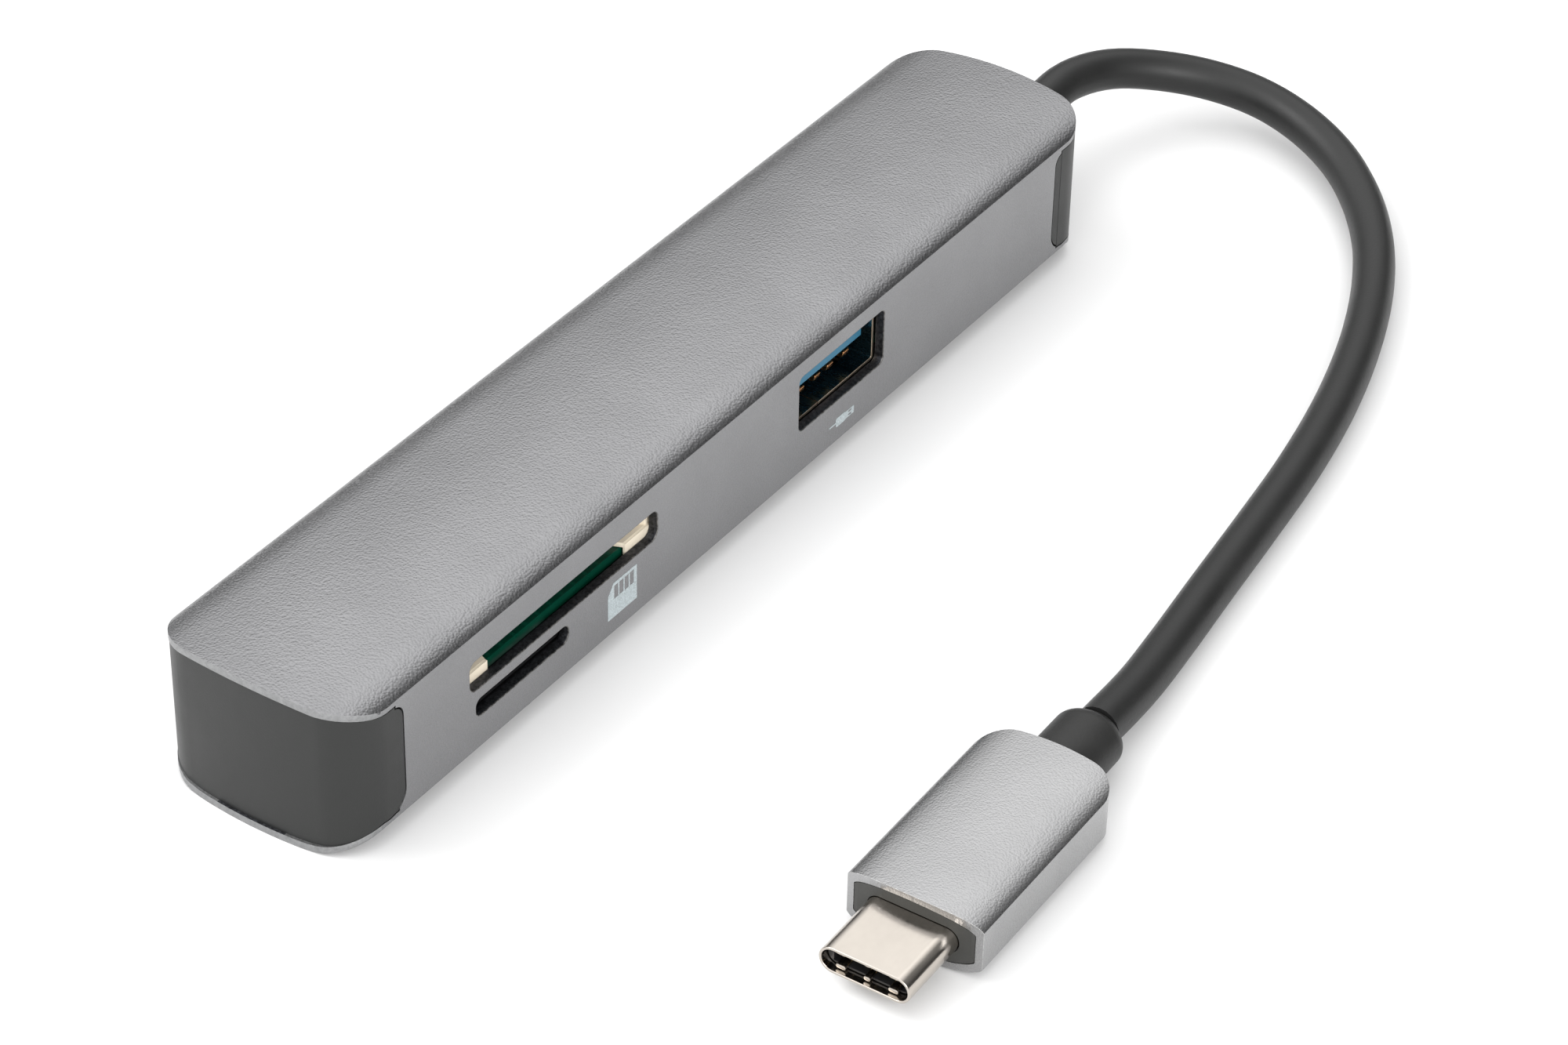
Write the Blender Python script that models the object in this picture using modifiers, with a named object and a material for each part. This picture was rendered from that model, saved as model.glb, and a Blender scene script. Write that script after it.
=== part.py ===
"""USB-C hub: aluminium sleeve with plastic end caps, card slots, ports, board and a fixed cable.

The hub stands on its belly with +X along its length towards the cable, the card slots on its
-Y side and +Z up. The origin is under the middle of the housing.
"""

import math

import bmesh
import bpy
from mathutils import Matrix, Vector

MM = 0.001
GAP = 0.3 * MM
SEAM = 0.15 * MM

# Housing
HOUSING_LENGTH = 112 * MM
HOUSING_WIDTH = 21 * MM
BELLY_RISE = 2.05 * MM
BELLY_ROLL = 6.1 * MM
CREASE_HEIGHT = 13.9 * MM
TOP_ROLL = 3.4 * MM
TOP_RISE = 1.2 * MM
TOP_CROWN = 0.35 * MM
HOUSING_HEIGHT = CREASE_HEIGHT + TOP_RISE + TOP_CROWN
PLAN_RADIUS = 4.0 * MM
END_BOW = 1.2 * MM
SIDE_WALL = 0.9 * MM
FLAT_WALL = 0.7 * MM
NOTCH_REACH = 48.7 * MM
NOTCH_TOP_RADIUS = 1.2 * MM
NOTCH_SILL = 0.35 * MM  # the belly lip's height over its crease at the notch
NOTCH_BELLY_RADIUS = 2.0 * MM
CAP_SETBACK = 0.25 * MM
CABLE_HEIGHT = 7.7 * MM
CAP_SHOULDER = HOUSING_LENGTH / 2 - END_BOW - PLAN_RADIUS - 1.0 * MM
WALL_FACE = HOUSING_WIDTH / 2
WALL_INSIDE = WALL_FACE - SIDE_WALL
BELLY_CREASE = 15
TOP_CREASE = 10
LIP_SIDE_REACH = 0.2 * MM

# End caps: the rim slides into the sleeve and a pocket lightens the moulding
CAP_RIM_LENGTH = 2.0 * MM
CAP_POCKET_WIDTH = 15.4 * MM
CAP_POCKET_HEIGHT = 9.6 * MM
CAP_END_WALL = 1.7 * MM
CABLE_HOLE = (2.7 * MM, 2.2 * MM)

# Insulating tray
TRAY_REACH = 45.5 * MM
TRAY_WALL = 0.6 * MM
TRAY_TOP = 4.7 * MM
POST_RADIUS = 1.1 * MM
POST_FOOT = 1.4 * MM
TRAY_POSTS = ((-44, 5), (-44, -5), (22.2, 0), (-15, -5), (42.5, 5), (42.5, -5))

# Board
BOARD_TOP = 8.5 * MM
BOARD_THICKNESS = 1.0 * MM
BOARD_UNDERSIDE = BOARD_TOP - BOARD_THICKNESS
BOARD_LEFT = -46.0 * MM
BOARD_RIGHT = 46.0 * MM
BOARD_HALF_WIDTH = 9.0 * MM

# USB-A ports: the shell's own size is the standard one
USB_SHELL = (13.1 * MM, 13.6 * MM, 5.7 * MM)
USB_SHELL_WALL = 0.3 * MM
USB_WINDOW = (13.3 * MM, 5.75 * MM)
USB_HEIGHT = 9.36 * MM
FRONT_USB_X = 13.4 * MM
REAR_USB_X = 31.0 * MM
USB_CONTACT_XS = (-3.5 * MM, -1.0 * MM, 1.0 * MM, 3.5 * MM)
USB_CONTACT_WIDTH = 0.7 * MM
USB_SPRING_ROOT = (9.6 * MM, 0.25 * MM)
USB_SPRING_THICKNESS = 0.2
PORT_SETBACK = 0.1 * MM

# USB-A tongues: a block at the back of the shell, a plate towards the mouth, a groove per spring
TONGUE_BLOCK = (12.2 * MM, 3.2 * MM, 4.8 * MM)
TONGUE_BLOCK_DEPTH = 11.7 * MM
TONGUE_PLATE = (11.1 * MM, 10.2 * MM, 1.84 * MM)
TONGUE_PLATE_CENTRE = (5.8 * MM, 0.77 * MM)
TONGUE_GROOVE = (1.1 * MM, 9.2 * MM, 1.3 * MM)
TONGUE_GROOVE_CENTRE = (5.45 * MM, 0.05 * MM)

# Video port
VIDEO_X = -4.0 * MM
VIDEO_SHELL = (15.0 * MM, 11.0 * MM, 5.5 * MM)
VIDEO_WINDOW_MARGIN = 0.15 * MM
VIDEO_SLOPE = (1.9 * MM, 2.8 * MM)
VIDEO_SHELL_WALL = 0.35 * MM
VIDEO_BLOCK = (10.0 * MM, 3.0 * MM, 4.3 * MM)
VIDEO_BLOCK_DEPTH = 9.3 * MM
VIDEO_PLATE = (10.0 * MM, 7.2 * MM, 1.0 * MM)
VIDEO_PLATE_CENTRE = (4.8 * MM, 0.3 * MM)

# Card slots
SD_WINDOW = (25.8 * MM, 2.98 * MM)
SD_CENTRE = (-27.3 * MM, 9.65 * MM)
MICRO_WINDOW = (12.5 * MM, 1.75 * MM)
MICRO_CENTRE = (-33.25 * MM, 6.1 * MM)
SD_SPRING_ROOT = (6.4 * MM, 9.25 * MM)
MICRO_SPRING_ROOT = (2.6 * MM, 6.75 * MM)
SD_FRAME_WIDTH = 27.6 * MM
SD_FRAME_BACK = 8.6 * MM
SD_FRAME_TOP = 11.5 * MM
SD_FRAME_FLOOR = 0.45 * MM
SD_FRAME_BACK_WALL = 1.2 * MM
SD_LID_THICKNESS = 0.25 * MM
SD_LID_WINDOW = (14 * MM, 8 * MM)
MICRO_SHELL = (14.0 * MM, 2.1 * MM)
MICRO_BORE = (13.4 * MM, 1.6 * MM)
MICRO_BACK = 4.6 * MM
MICRO_BASE = (12.8 * MM, 1.4 * MM, 1.1 * MM)
SOCKET_LIFT = 0.1 * MM

# Cable and its boots
CABLE_DIAMETER = 4.0 * MM
BOOT_WIDTH = 6.4 * MM
BOOT_HEIGHT = 5.2 * MM
BOOT_LENGTH = 6.4 * MM
BOOT_STEM = 2.4 * MM
BOOT_INSIDE = 3.3 * MM
BOOT_START = HOUSING_LENGTH / 2 + 0.05 * MM
BOOT_SHOULDER = 1.5 * MM
BOOT_FLANGE = BOOT_STEM + 0.5 * MM
BOOT_FLANGE_START = 2.2 * MM
CRIMP_RADIUS = 1.9 * MM
CRIMP_START = 50.0 * MM
WIRE_RADIUS = 0.35 * MM
WIRE_LIFT = 0.5 * MM
WIRE_YS = (-4.5, -1.5, 1.5, 4.5)
CABLE_ROUTE = (
    (62.75, 0.0, 7.7),
    (68.0, -0.1, 7.9),
    (73.0, -1.7, 7.35),
    (77.0, -4.9, 6.4),
    (79.7, -9.4, 5.6),
    (80.7, -14.6, 4.95),
    (79.9, -20.0, 4.25),
    (77.4, -25.4, 3.55),
    (73.4, -30.2, 2.9),
    (68.6, -34.1, 2.4),
    (63.2, -37.2, 2.1),
    (57.0, -39.9, 2.05),
    (50.0, -42.3, 2.05),
    (42.0, -44.4, 2.05),
    (33.0, -46.1, 2.05),
    (24.0, -47.3, 2.05),
    (14.0, -48.5, 2.05),
    (5.4, -49.6, 2.1),
    (-1.5, -50.45, 2.45),
    (-8.67, -50.93, 3.1),
)
CABLE_POINTS = 61

# Plug: its own frame has the cable leaving towards +X and the mouth of its sleeve at X = 0
PLUG_MOUTH = Vector((-37.9, -51.7, 3.1)) * MM
PLUG_YAW = math.radians(1.5)
PLUG_LENGTH = 22.5 * MM
PLUG_WIDTH = 12.5 * MM
PLUG_CREASE = 1.95 * MM
PLUG_ROLL = 3.1 * MM
PLUG_RISE = 0.95 * MM
PLUG_CROWN = 0.15 * MM
PLUG_MOUTH_SETBACK = 0.3 * MM
PLUG_MOUTH_BOW = 0.5 * MM
PLUG_TAIL_BOW = 0.45 * MM
PLUG_TAIL_RADIUS = 2.7 * MM
PLUG_SIDE_WALL = 0.65 * MM
PLUG_FLAT_WALL = 0.55 * MM
PLUG_TAIL_WALL = 1.5 * MM
USBC_WIDTH = 8.34 * MM
USBC_HEIGHT = 2.56 * MM
USBC_OUT = 6.6 * MM
USBC_IN = 3.5 * MM
USBC_WALL = 0.25 * MM
PLUG_SPRING_ROOT = (-0.1 * MM, 0.5 * MM)
PLUG_TAIL_HOLE = (2.7 * MM, 2.25 * MM)
PLUG_INSERT = (0.25 * MM, 3.2 * MM)
PLUG_INSERT_GAP = 0.12 * MM
PLUG_MOULD = (3.8 * MM, 16.5 * MM)
PLUG_MOULD_SLOT = (8.4 * MM, 8.6 * MM, 1.6 * MM)
PLUG_BOARD = (7.4 * MM, 8.0 * MM, 0.8 * MM)
PLUG_BOARD_START = 3.9 * MM
INSULATOR = (0.9 * MM - USBC_OUT, 3.3 * MM)
INSULATOR_GAP = 0.1 * MM
INSULATOR_HOLLOW = (6.6 * MM, 1.5 * MM)
INSULATOR_HOLLOW_END = 0.6 * MM

AXIS_TURNS = {
    "x": Matrix(((0, 0, 1), (1, 0, 0), (0, 1, 0))).to_4x4(),
    "y": Matrix(((1, 0, 0), (0, 0, -1), (0, 1, 0))).to_4x4(),
    "z": Matrix.Identity(4),
}


# ---------------------------------------------------------------- scene and materials


def clear_scene():
    for obj in list(bpy.data.objects):
        bpy.data.objects.remove(obj, do_unlink=True)


def new_collection(name):
    collection = bpy.data.collections.new(name)
    bpy.context.scene.collection.children.link(collection)
    return collection


def principled(name, colour, roughness, metallic=0.0):
    material = bpy.data.materials.new(name)
    material.use_nodes = True
    shader = material.node_tree.nodes["Principled BSDF"]
    shader.inputs["Base Color"].default_value = (*colour, 1.0)
    shader.inputs["Roughness"].default_value = roughness
    shader.inputs["Metallic"].default_value = metallic
    return material


def make_materials():
    return {
        "aluminium": principled("blasted_aluminium", (0.32, 0.32, 0.33), 0.45, 1.0),
        "cap": principled("dark_cap_plastic", (0.07, 0.075, 0.07), 0.5),
        "rubber": principled("black_rubber", (0.035, 0.036, 0.035), 0.55),
        "plug_aluminium": principled("pale_aluminium", (0.5, 0.5, 0.5), 0.42, 1.0),
        "insert": principled("dark_insert_plastic", (0.06, 0.06, 0.055), 0.5),
        "nickel": principled("warm_nickel", (0.75, 0.71, 0.66), 0.2, 1.0),
        "steel": principled("stamped_steel", (0.5, 0.46, 0.42), 0.3, 1.0),
        "board": principled("green_board", (0.005, 0.03, 0.013), 0.4),
        "blue": principled("blue_tongue_plastic", (0.03, 0.21, 0.38), 0.45),
        "black": principled("black_moulding", (0.012, 0.012, 0.013), 0.45),
        "cream": principled("cream_moulding", (0.62, 0.52, 0.38), 0.5),
        "white": principled("natural_moulding", (0.7, 0.69, 0.66), 0.5),
        "copper": principled("copper_alloy", (0.55, 0.25, 0.1), 0.3, 1.0),
        "gold": principled("gold_plate", (0.8, 0.58, 0.25), 0.25, 1.0),
        "chip": principled("chip_epoxy", (0.02, 0.02, 0.022), 0.6),
        "wire": principled("wire_sleeve", (0.35, 0.03, 0.03), 0.5),
    }


# ---------------------------------------------------------------- shape tools


def add_object(name, mesh, material):
    obj = bpy.data.objects.new(name, mesh)
    PARTS.objects.link(obj)
    if material:
        mesh.materials.append(MATERIALS[material])
    return obj


def curve_to_mesh(name, curve_object, material):
    """The mesh that a curve draws, its caps welded to its sides, as an object of its own."""
    bpy.context.view_layer.update()
    graph = bpy.context.evaluated_depsgraph_get()
    mesh = bpy.data.meshes.new_from_object(curve_object.evaluated_get(graph))
    mesh.materials.clear()
    shape = bmesh.new()
    shape.from_mesh(mesh)
    bmesh.ops.remove_doubles(shape, verts=shape.verts, dist=0.001 * MM)
    bmesh.ops.recalc_face_normals(shape, faces=shape.faces)
    shape.to_mesh(mesh)
    shape.free()
    solid = add_object(name, mesh, material)
    solid.matrix_world = curve_object.matrix_world
    bpy.data.objects.remove(curve_object)
    return solid


def prism(name, outline, start, end, axis, material=None):
    """A flat outline extruded from start to end along an axis. For x the outline is (y, z)."""
    curve = bpy.data.curves.new(name + "_outline", "CURVE")
    curve.dimensions = "2D"
    curve.fill_mode = "BOTH"
    curve.extrude = (end - start) / 2
    spline = curve.splines.new("POLY")
    spline.points.add(len(outline) - 1)
    for point, (u, v) in zip(spline.points, outline):
        point.co = (u, v, 0, 1)
    spline.use_cyclic_u = True
    guide = bpy.data.objects.new(name + "_outline", curve)
    PARTS.objects.link(guide)
    solid = curve_to_mesh(name, guide, material)
    middle = (start + end) / 2
    if axis == "y":
        middle = -middle
    turn = AXIS_TURNS[axis] @ Matrix.Translation((0, 0, middle))
    solid.data.transform(turn)
    return solid


def box(name, size, centre, material=None):
    shape = bmesh.new()
    bmesh.ops.create_cube(shape, size=1)
    bmesh.ops.scale(shape, vec=size, verts=shape.verts)
    bmesh.ops.translate(shape, vec=centre, verts=shape.verts)
    mesh = bpy.data.meshes.new(name)
    shape.to_mesh(mesh)
    shape.free()
    return add_object(name, mesh, material)


def rod(name, radius, start, end, axis, centre, sides=24, material=None):
    """A round rod along an axis, centred on the other two coordinates."""
    shape = bmesh.new()
    bmesh.ops.create_cone(
        shape, cap_ends=True, segments=sides, radius1=radius, radius2=radius, depth=end - start
    )
    mesh = bpy.data.meshes.new(name)
    shape.to_mesh(mesh)
    shape.free()
    middle = (start + end) / 2
    u, v = centre
    place = {"x": (middle, u, v), "y": (u, middle, v), "z": (u, v, middle)}[axis]
    mesh.transform(Matrix.Translation(place) @ AXIS_TURNS[axis])
    return add_object(name, mesh, material)


def turned(name, profile, steps, material):
    """A profile of (radius, height) points turned about the local Z axis, top to bottom."""
    mesh = bpy.data.meshes.new(name)
    edges = [(i, i + 1) for i in range(len(profile) - 1)]
    mesh.from_pydata([(radius, 0, height) for radius, height in profile], edges, [])
    obj = add_object(name, mesh, material)
    screw = obj.modifiers.new("turn", "SCREW")
    screw.steps = steps
    screw.render_steps = steps
    screw.use_merge_vertices = True
    screw.merge_threshold = 0.005 * MM
    return obj


def tube(name, points, radius, material):
    """A round wire through the points, with closed ends."""
    curve = bpy.data.curves.new(name, "CURVE")
    curve.dimensions = "3D"
    curve.bevel_depth = radius
    curve.bevel_resolution = 2
    curve.use_fill_caps = True
    spline = curve.splines.new("POLY")
    spline.points.add(len(points) - 1)
    for point, place in zip(spline.points, points):
        point.co = (*place, 1)
    obj = bpy.data.objects.new(name, curve)
    curve.materials.append(MATERIALS[material])
    PARTS.objects.link(obj)
    return obj


def combine(target, other, operation):
    """A Boolean between two meshes. The second becomes a hidden cutter that moves with the first."""
    modifier = target.modifiers.new(operation.lower(), "BOOLEAN")
    modifier.operation = operation
    modifier.object = other
    modifier.solver = "EXACT"
    other.parent = other.parent or target
    if other.name not in CUTTERS.objects:
        PARTS.objects.unlink(other)
        CUTTERS.objects.link(other)
        other.hide_render = True
        other.display_type = "WIRE"


def cut(target, *cutters):
    for cutter in cutters:
        combine(target, cutter, "DIFFERENCE")


def join(target, *others):
    for other in others:
        combine(target, other, "UNION")


def keep_inside(target, *others):
    for other in others:
        combine(target, other, "INTERSECT")


def smooth_round(obj, angle=35):
    obj.data.shade_smooth()
    obj.data.set_sharp_from_angle(angle=math.radians(angle))


def set_origin(obj, point):
    """Moves the origin of a mesh to a point without moving its shape."""
    obj.data.transform(Matrix.Translation(-Vector(point)))
    obj.location = point


# ---------------------------------------------------------------- outlines


def arc(centre, radii, start, end, steps):
    """Points on an ellipse from one angle to another, in degrees, both ends included."""
    angles = [math.radians(start + (end - start) * i / steps) for i in range(steps + 1)]
    return [
        (centre[0] + radii[0] * math.cos(a), centre[1] + radii[1] * math.sin(a)) for a in angles
    ]


def rounded_rectangle(size, centre=(0, 0), radius=0.0, steps=4):
    half_u = size[0] / 2 - radius
    half_v = size[1] / 2 - radius
    corners = ((1, 1, 0), (-1, 1, 90), (-1, -1, 180), (1, -1, 270))
    outline = []
    for u, v, start in corners:
        middle = (centre[0] + u * half_u, centre[1] + v * half_v)
        outline += arc(middle, (radius, radius), start, start + 90, steps)
    return outline


def blend_angle(roll, rise, start, slope):
    """The ellipse angle where a roll that begins at start is as steep as the crown's edge."""
    low, high = start + 5, 90
    for _ in range(40):
        middle = (low + high) / 2
        a, b = math.radians(start), math.radians(middle)
        wide = roll / (math.cos(a) - math.cos(b))
        tall = rise / (math.sin(b) - math.sin(a))
        if tall * math.cos(b) > slope * wide * math.sin(b):
            low = middle
        else:
            high = middle
    return low


def crowned_edge(half, crease, roll, rise, crown, start, steps):
    """Half of a crowned surface, from its crease at (half, crease) to its middle at y = 0."""
    inner = half - roll
    end = blend_angle(roll, rise, start, 2 * crown / inner)
    low, high = math.radians(start), math.radians(end)
    width = roll / (math.cos(low) - math.cos(high))
    height = rise / (math.sin(high) - math.sin(low))
    centre = (half - width * math.cos(low), crease - height * math.sin(low))
    points = arc(centre, (width, height), start, end, steps)
    if crown:
        for share in (0.66, 0.33, 0.0):
            points.append((inner * share, crease + rise + crown * (1 - share**2)))
    return points


def mirrored(right_half):
    """A closed outline from its half at +y, which runs from the bottom to the top."""
    left_half = [(-y, z) for y, z in reversed(right_half) if y > 1e-9]
    return right_half + left_half


def housing_section(side=0.0, flat=0.0):
    """The housing's outline (y, z), set in by side at the walls and by flat above and below."""
    half = HOUSING_WIDTH / 2 - side
    belly = crowned_edge(half, -BELLY_RISE - flat, BELLY_ROLL, BELLY_RISE, 0, BELLY_CREASE, 6)
    top = crowned_edge(half, CREASE_HEIGHT - flat, TOP_ROLL, TOP_RISE, TOP_CROWN, TOP_CREASE, 6)
    return mirrored([(y, -z) for y, z in reversed(belly)] + top)


def housing_plan(setback=0.0):
    """The housing's outline (x, y) from above: bowed ends with round corners."""
    half = HOUSING_WIDTH / 2
    inner = half - PLAN_RADIUS
    ys = [inner * i / 4 for i in range(4)]
    ys += [inner + PLAN_RADIUS * math.sin(math.radians(15 * i)) for i in range(7)]
    right = []
    for y in ys:
        share = max(0.0, (y - inner) / PLAN_RADIUS)
        corner = PLAN_RADIUS * (1 - math.sqrt(max(0.0, 1 - share**2)))
        x = HOUSING_LENGTH / 2 - END_BOW * (y / half) ** 2 - corner
        right.append((x - setback * (1 - share), y))
    upper = right + [(-x, y) for x, y in reversed(right)]
    lower = [(x, -y) for x, y in reversed(upper) if y > 0]
    return upper + lower


def plug_section(side=0.0, flat=0.0):
    """The plug sleeve's outline (y, z) about its own axis."""
    half = PLUG_WIDTH / 2 - side
    crease = PLUG_CREASE - flat
    top = crowned_edge(half, crease, PLUG_ROLL, PLUG_RISE, PLUG_CROWN, TOP_CREASE, 5)
    bottom = [(y, -z) for y, z in reversed(top)]
    return mirrored(bottom + top)


def plug_plan():
    """The plug sleeve's outline (x, y): a bowed mouth near x = 0, a tail with round corners."""
    half = PLUG_WIDTH / 2
    shares = (0.0, 0.4, 0.75, 1.0)
    mouth = [(PLUG_MOUTH_SETBACK + PLUG_MOUTH_BOW * share**2, half * share) for share in shares]
    inner = half - PLUG_TAIL_RADIUS
    tail_ys = [0.0, inner * 0.5]
    tail_ys += [inner + PLUG_TAIL_RADIUS * math.sin(math.radians(18 * i)) for i in range(6)]
    tail = []
    for y in tail_ys:
        share = max(0.0, (y - inner) / PLUG_TAIL_RADIUS)
        corner = PLUG_TAIL_RADIUS * (1 - math.sqrt(max(0.0, 1 - share**2)))
        tail.append((PLUG_LENGTH - PLUG_TAIL_BOW * (y / half) ** 2 - corner, y))
    upper = mouth + list(reversed(tail))
    lower = [(x, -y) for x, y in reversed(upper) if y > 0]
    return upper + lower


# ---------------------------------------------------------------- housing


def wall_notch(side, name, gap):
    """The round-cornered notch in both long walls that an end cap wraps into."""
    reach = WALL_FACE + (1.0 * MM if not gap else 0.0)
    low = BELLY_RISE + NOTCH_SILL + gap
    high = CREASE_HEIGHT - FLAT_WALL - gap
    inner = NOTCH_REACH + gap
    outer = HOUSING_LENGTH / 2 + 4 * MM
    top, belly = NOTCH_TOP_RADIUS, NOTCH_BELLY_RADIUS
    outline = [(outer, low)]
    outline += [(outer, high)]
    outline += arc((inner + top, high - top), (top, top), 90, 180, 5)
    outline += arc((inner + belly, low + belly), (belly, belly), 180, 270, 5)
    outline = [(side * x, z) for x, z in outline]
    return prism(name, outline, -reach, reach, "y")


def port_window(name, size, centre, side, radius):
    """A cutter through one long wall. Side is -1 for the wall at -Y."""
    near = min(side * (WALL_INSIDE - 2 * MM), side * (WALL_FACE + 1 * MM))
    far = max(side * (WALL_INSIDE - 2 * MM), side * (WALL_FACE + 1 * MM))
    return prism(name, rounded_rectangle(size, centre, radius, 4), near, far, "y")


def video_outline(margin):
    """The video socket's outline (x, z): straight top, lower corners cut slanting."""
    half = VIDEO_SHELL[0] / 2 + margin
    high = VIDEO_SHELL[2] / 2 + margin
    across, up = VIDEO_SLOPE
    return [
        (half, high),
        (-half, high),
        (-half, -high + up),
        (-half + across, -high),
        (half - across, -high),
        (half, -high + up),
    ]


def make_housing_sleeve():
    half = HOUSING_LENGTH / 2
    sleeve = prism("housing_sleeve", housing_section(), -half, half, "x", "aluminium")
    plan = prism("sleeve_plan", housing_plan(), -MM, HOUSING_HEIGHT + MM, "z")
    keep_inside(sleeve, plan)
    cavity = prism(
        "sleeve_cavity", housing_section(SIDE_WALL, FLAT_WALL), -half - MM, half + MM, "x"
    )
    cut(sleeve, cavity)
    for side in (-1, 1):
        cut(sleeve, wall_notch(side, f"sleeve_notch_{side}", 0.0))
        lip_span = sorted((side * (CAP_SHOULDER - SEAM), side * (half + 2 * MM)))
        lip_section = housing_section(-LIP_SIDE_REACH, FLAT_WALL)
        cut(sleeve, prism(f"sleeve_lip_{side}", lip_section, *lip_span, "x"))
    cut(
        sleeve,
        port_window("usb_window_front", USB_WINDOW, (FRONT_USB_X, USB_HEIGHT), -1, 0.6 * MM),
        port_window("usb_window_rear", USB_WINDOW, (REAR_USB_X, USB_HEIGHT), 1, 0.6 * MM),
        port_window("sd_window", SD_WINDOW, SD_CENTRE, -1, 0.8 * MM),
        port_window("micro_window", MICRO_WINDOW, MICRO_CENTRE, -1, 0.7 * MM),
    )
    video = [(VIDEO_X + x, USB_HEIGHT + z) for x, z in video_outline(VIDEO_WINDOW_MARGIN)]
    cut(sleeve, prism("video_window", video, WALL_INSIDE - 2 * MM, WALL_FACE + MM, "y"))
    smooth_round(sleeve, 25)


def make_end_cap(name, side):
    """A cap that fills one end between the lips, with a rim that slides into the sleeve."""
    outer = HOUSING_LENGTH / 2 + MM
    span = sorted((side * CAP_SHOULDER, side * outer))
    cap = prism(name, housing_section(0.0, FLAT_WALL + SEAM), *span, "x", "cap")
    join(cap, wall_notch(side, name + "_wrap", SEAM))
    rim_span = sorted((side * (NOTCH_REACH - CAP_RIM_LENGTH), side * (CAP_SHOULDER + MM)))
    rim = prism(name + "_rim", housing_section(SIDE_WALL + GAP, FLAT_WALL + GAP), *rim_span, "x")
    join(cap, rim)
    plan = prism(name + "_plan", housing_plan(CAP_SETBACK), -MM, HOUSING_HEIGHT + MM, "z")
    keep_inside(cap, plan)
    pocket_start = NOTCH_REACH - CAP_RIM_LENGTH - MM
    pocket_end = HOUSING_LENGTH / 2 - CAP_END_WALL
    pocket_size = (pocket_end - pocket_start, CAP_POCKET_WIDTH, CAP_POCKET_HEIGHT)
    pocket_centre = (side * (pocket_start + pocket_end) / 2, 0, CABLE_HEIGHT)
    cut(cap, box(name + "_pocket", pocket_size, pocket_centre))
    smooth_round(cap, 25)
    return cap


def make_cable_end_cap():
    cap = make_end_cap("cable_end_cap", 1)
    hole_span = (HOUSING_LENGTH / 2 - 4 * MM, HOUSING_LENGTH / 2 + 2 * MM)
    hole = rod("cable_hole", 1.0, *hole_span, "x", (0, 0), 24)
    hole.data.transform(Matrix.Diagonal((1, *CABLE_HOLE, 1)))
    hole.location.z = CABLE_HEIGHT
    cut(cap, hole)


def make_insulating_tray():
    """A liner that keeps the board off the aluminium, with posts under the board."""
    outer = housing_section(SIDE_WALL + GAP, FLAT_WALL + GAP)
    tray = prism("insulating_tray", outer, -TRAY_REACH, TRAY_REACH, "x", "black")
    inner = housing_section(SIDE_WALL + GAP + TRAY_WALL, FLAT_WALL + GAP + TRAY_WALL)
    cut(tray, prism("tray_inside", inner, -TRAY_REACH - MM, TRAY_REACH + MM, "x"))
    above = (HOUSING_LENGTH, HOUSING_WIDTH, HOUSING_HEIGHT)
    cut(tray, box("tray_above", above, (0, 0, TRAY_TOP + HOUSING_HEIGHT / 2)))
    post_top = BOARD_UNDERSIDE - GAP
    for i, (x, y) in enumerate(TRAY_POSTS):
        place = (x * MM, y * MM)
        join(tray, rod(f"tray_post_{i}", POST_RADIUS, POST_FOOT, post_top, "z", place, 12))


# ---------------------------------------------------------------- board


def make_main_board():
    outline = rounded_rectangle(
        (BOARD_RIGHT - BOARD_LEFT, 2 * BOARD_HALF_WIDTH),
        ((BOARD_LEFT + BOARD_RIGHT) / 2, 0),
        1.0 * MM,
        3,
    )
    board = prism("main_board", outline, BOARD_UNDERSIDE, BOARD_TOP, "z", "board")
    for name, x, side, size in (
        ("front_usb", FRONT_USB_X, -1, USB_SHELL),
        ("rear_usb", REAR_USB_X, 1, USB_SHELL),
        ("video", VIDEO_X, 1, VIDEO_SHELL),
    ):
        depth = size[1] + 1.4 * MM
        centre = (x, side * (WALL_INSIDE + MM - depth / 2), (BOARD_TOP + BOARD_UNDERSIDE) / 2)
        opening = (size[0] + 0.6 * MM, depth, 3 * MM)
        cut(board, box(name + "_board_cutout", opening, centre))


def make_board_parts():
    """Chips and passive parts, each a block a hair off the board."""
    above = BOARD_TOP + 0.1 * MM
    below = BOARD_UNDERSIDE - 0.1 * MM
    parts = (
        ("hub_controller_chip", (7, 7, 0.9), (-20.5, -1, below), -1, "chip"),
        ("video_chip", (6, 6, 0.9), (-4, -5.4, below), -1, "chip"),
        ("card_reader_chip", (4.8, 4.8, 0.9), (-44, -5, above), 1, "chip"),
        ("power_chip", (3.2, 3.2, 1.0), (13.4, 7.2, above), 1, "chip"),
        ("crystal", (3.2, 2.5, 0.8), (-44, 4, above), 1, "steel"),
        ("power_inductor", (3.8, 3.6, 2.2), (31, -6.9, above), 1, "black"),
        ("capacitor_1", (2.8, 3.5, 1.9), (22.2, -3, above), 1, "copper"),
        ("capacitor_2", (2.8, 3.5, 1.9), (22.2, 3, above), 1, "copper"),
    )
    for name, size, (x, y, face), way, material in parts:
        depth = size[2] * MM
        centre = (x * MM, y * MM, face + way * depth / 2)
        part = box(name, tuple(side * MM for side in size), (0, 0, 0), material)
        part.location = centre
        bevel = part.modifiers.new("soft_edges", "BEVEL")
        bevel.width = 0.15 * MM
        bevel.segments = 1


# ---------------------------------------------------------------- ports


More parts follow.
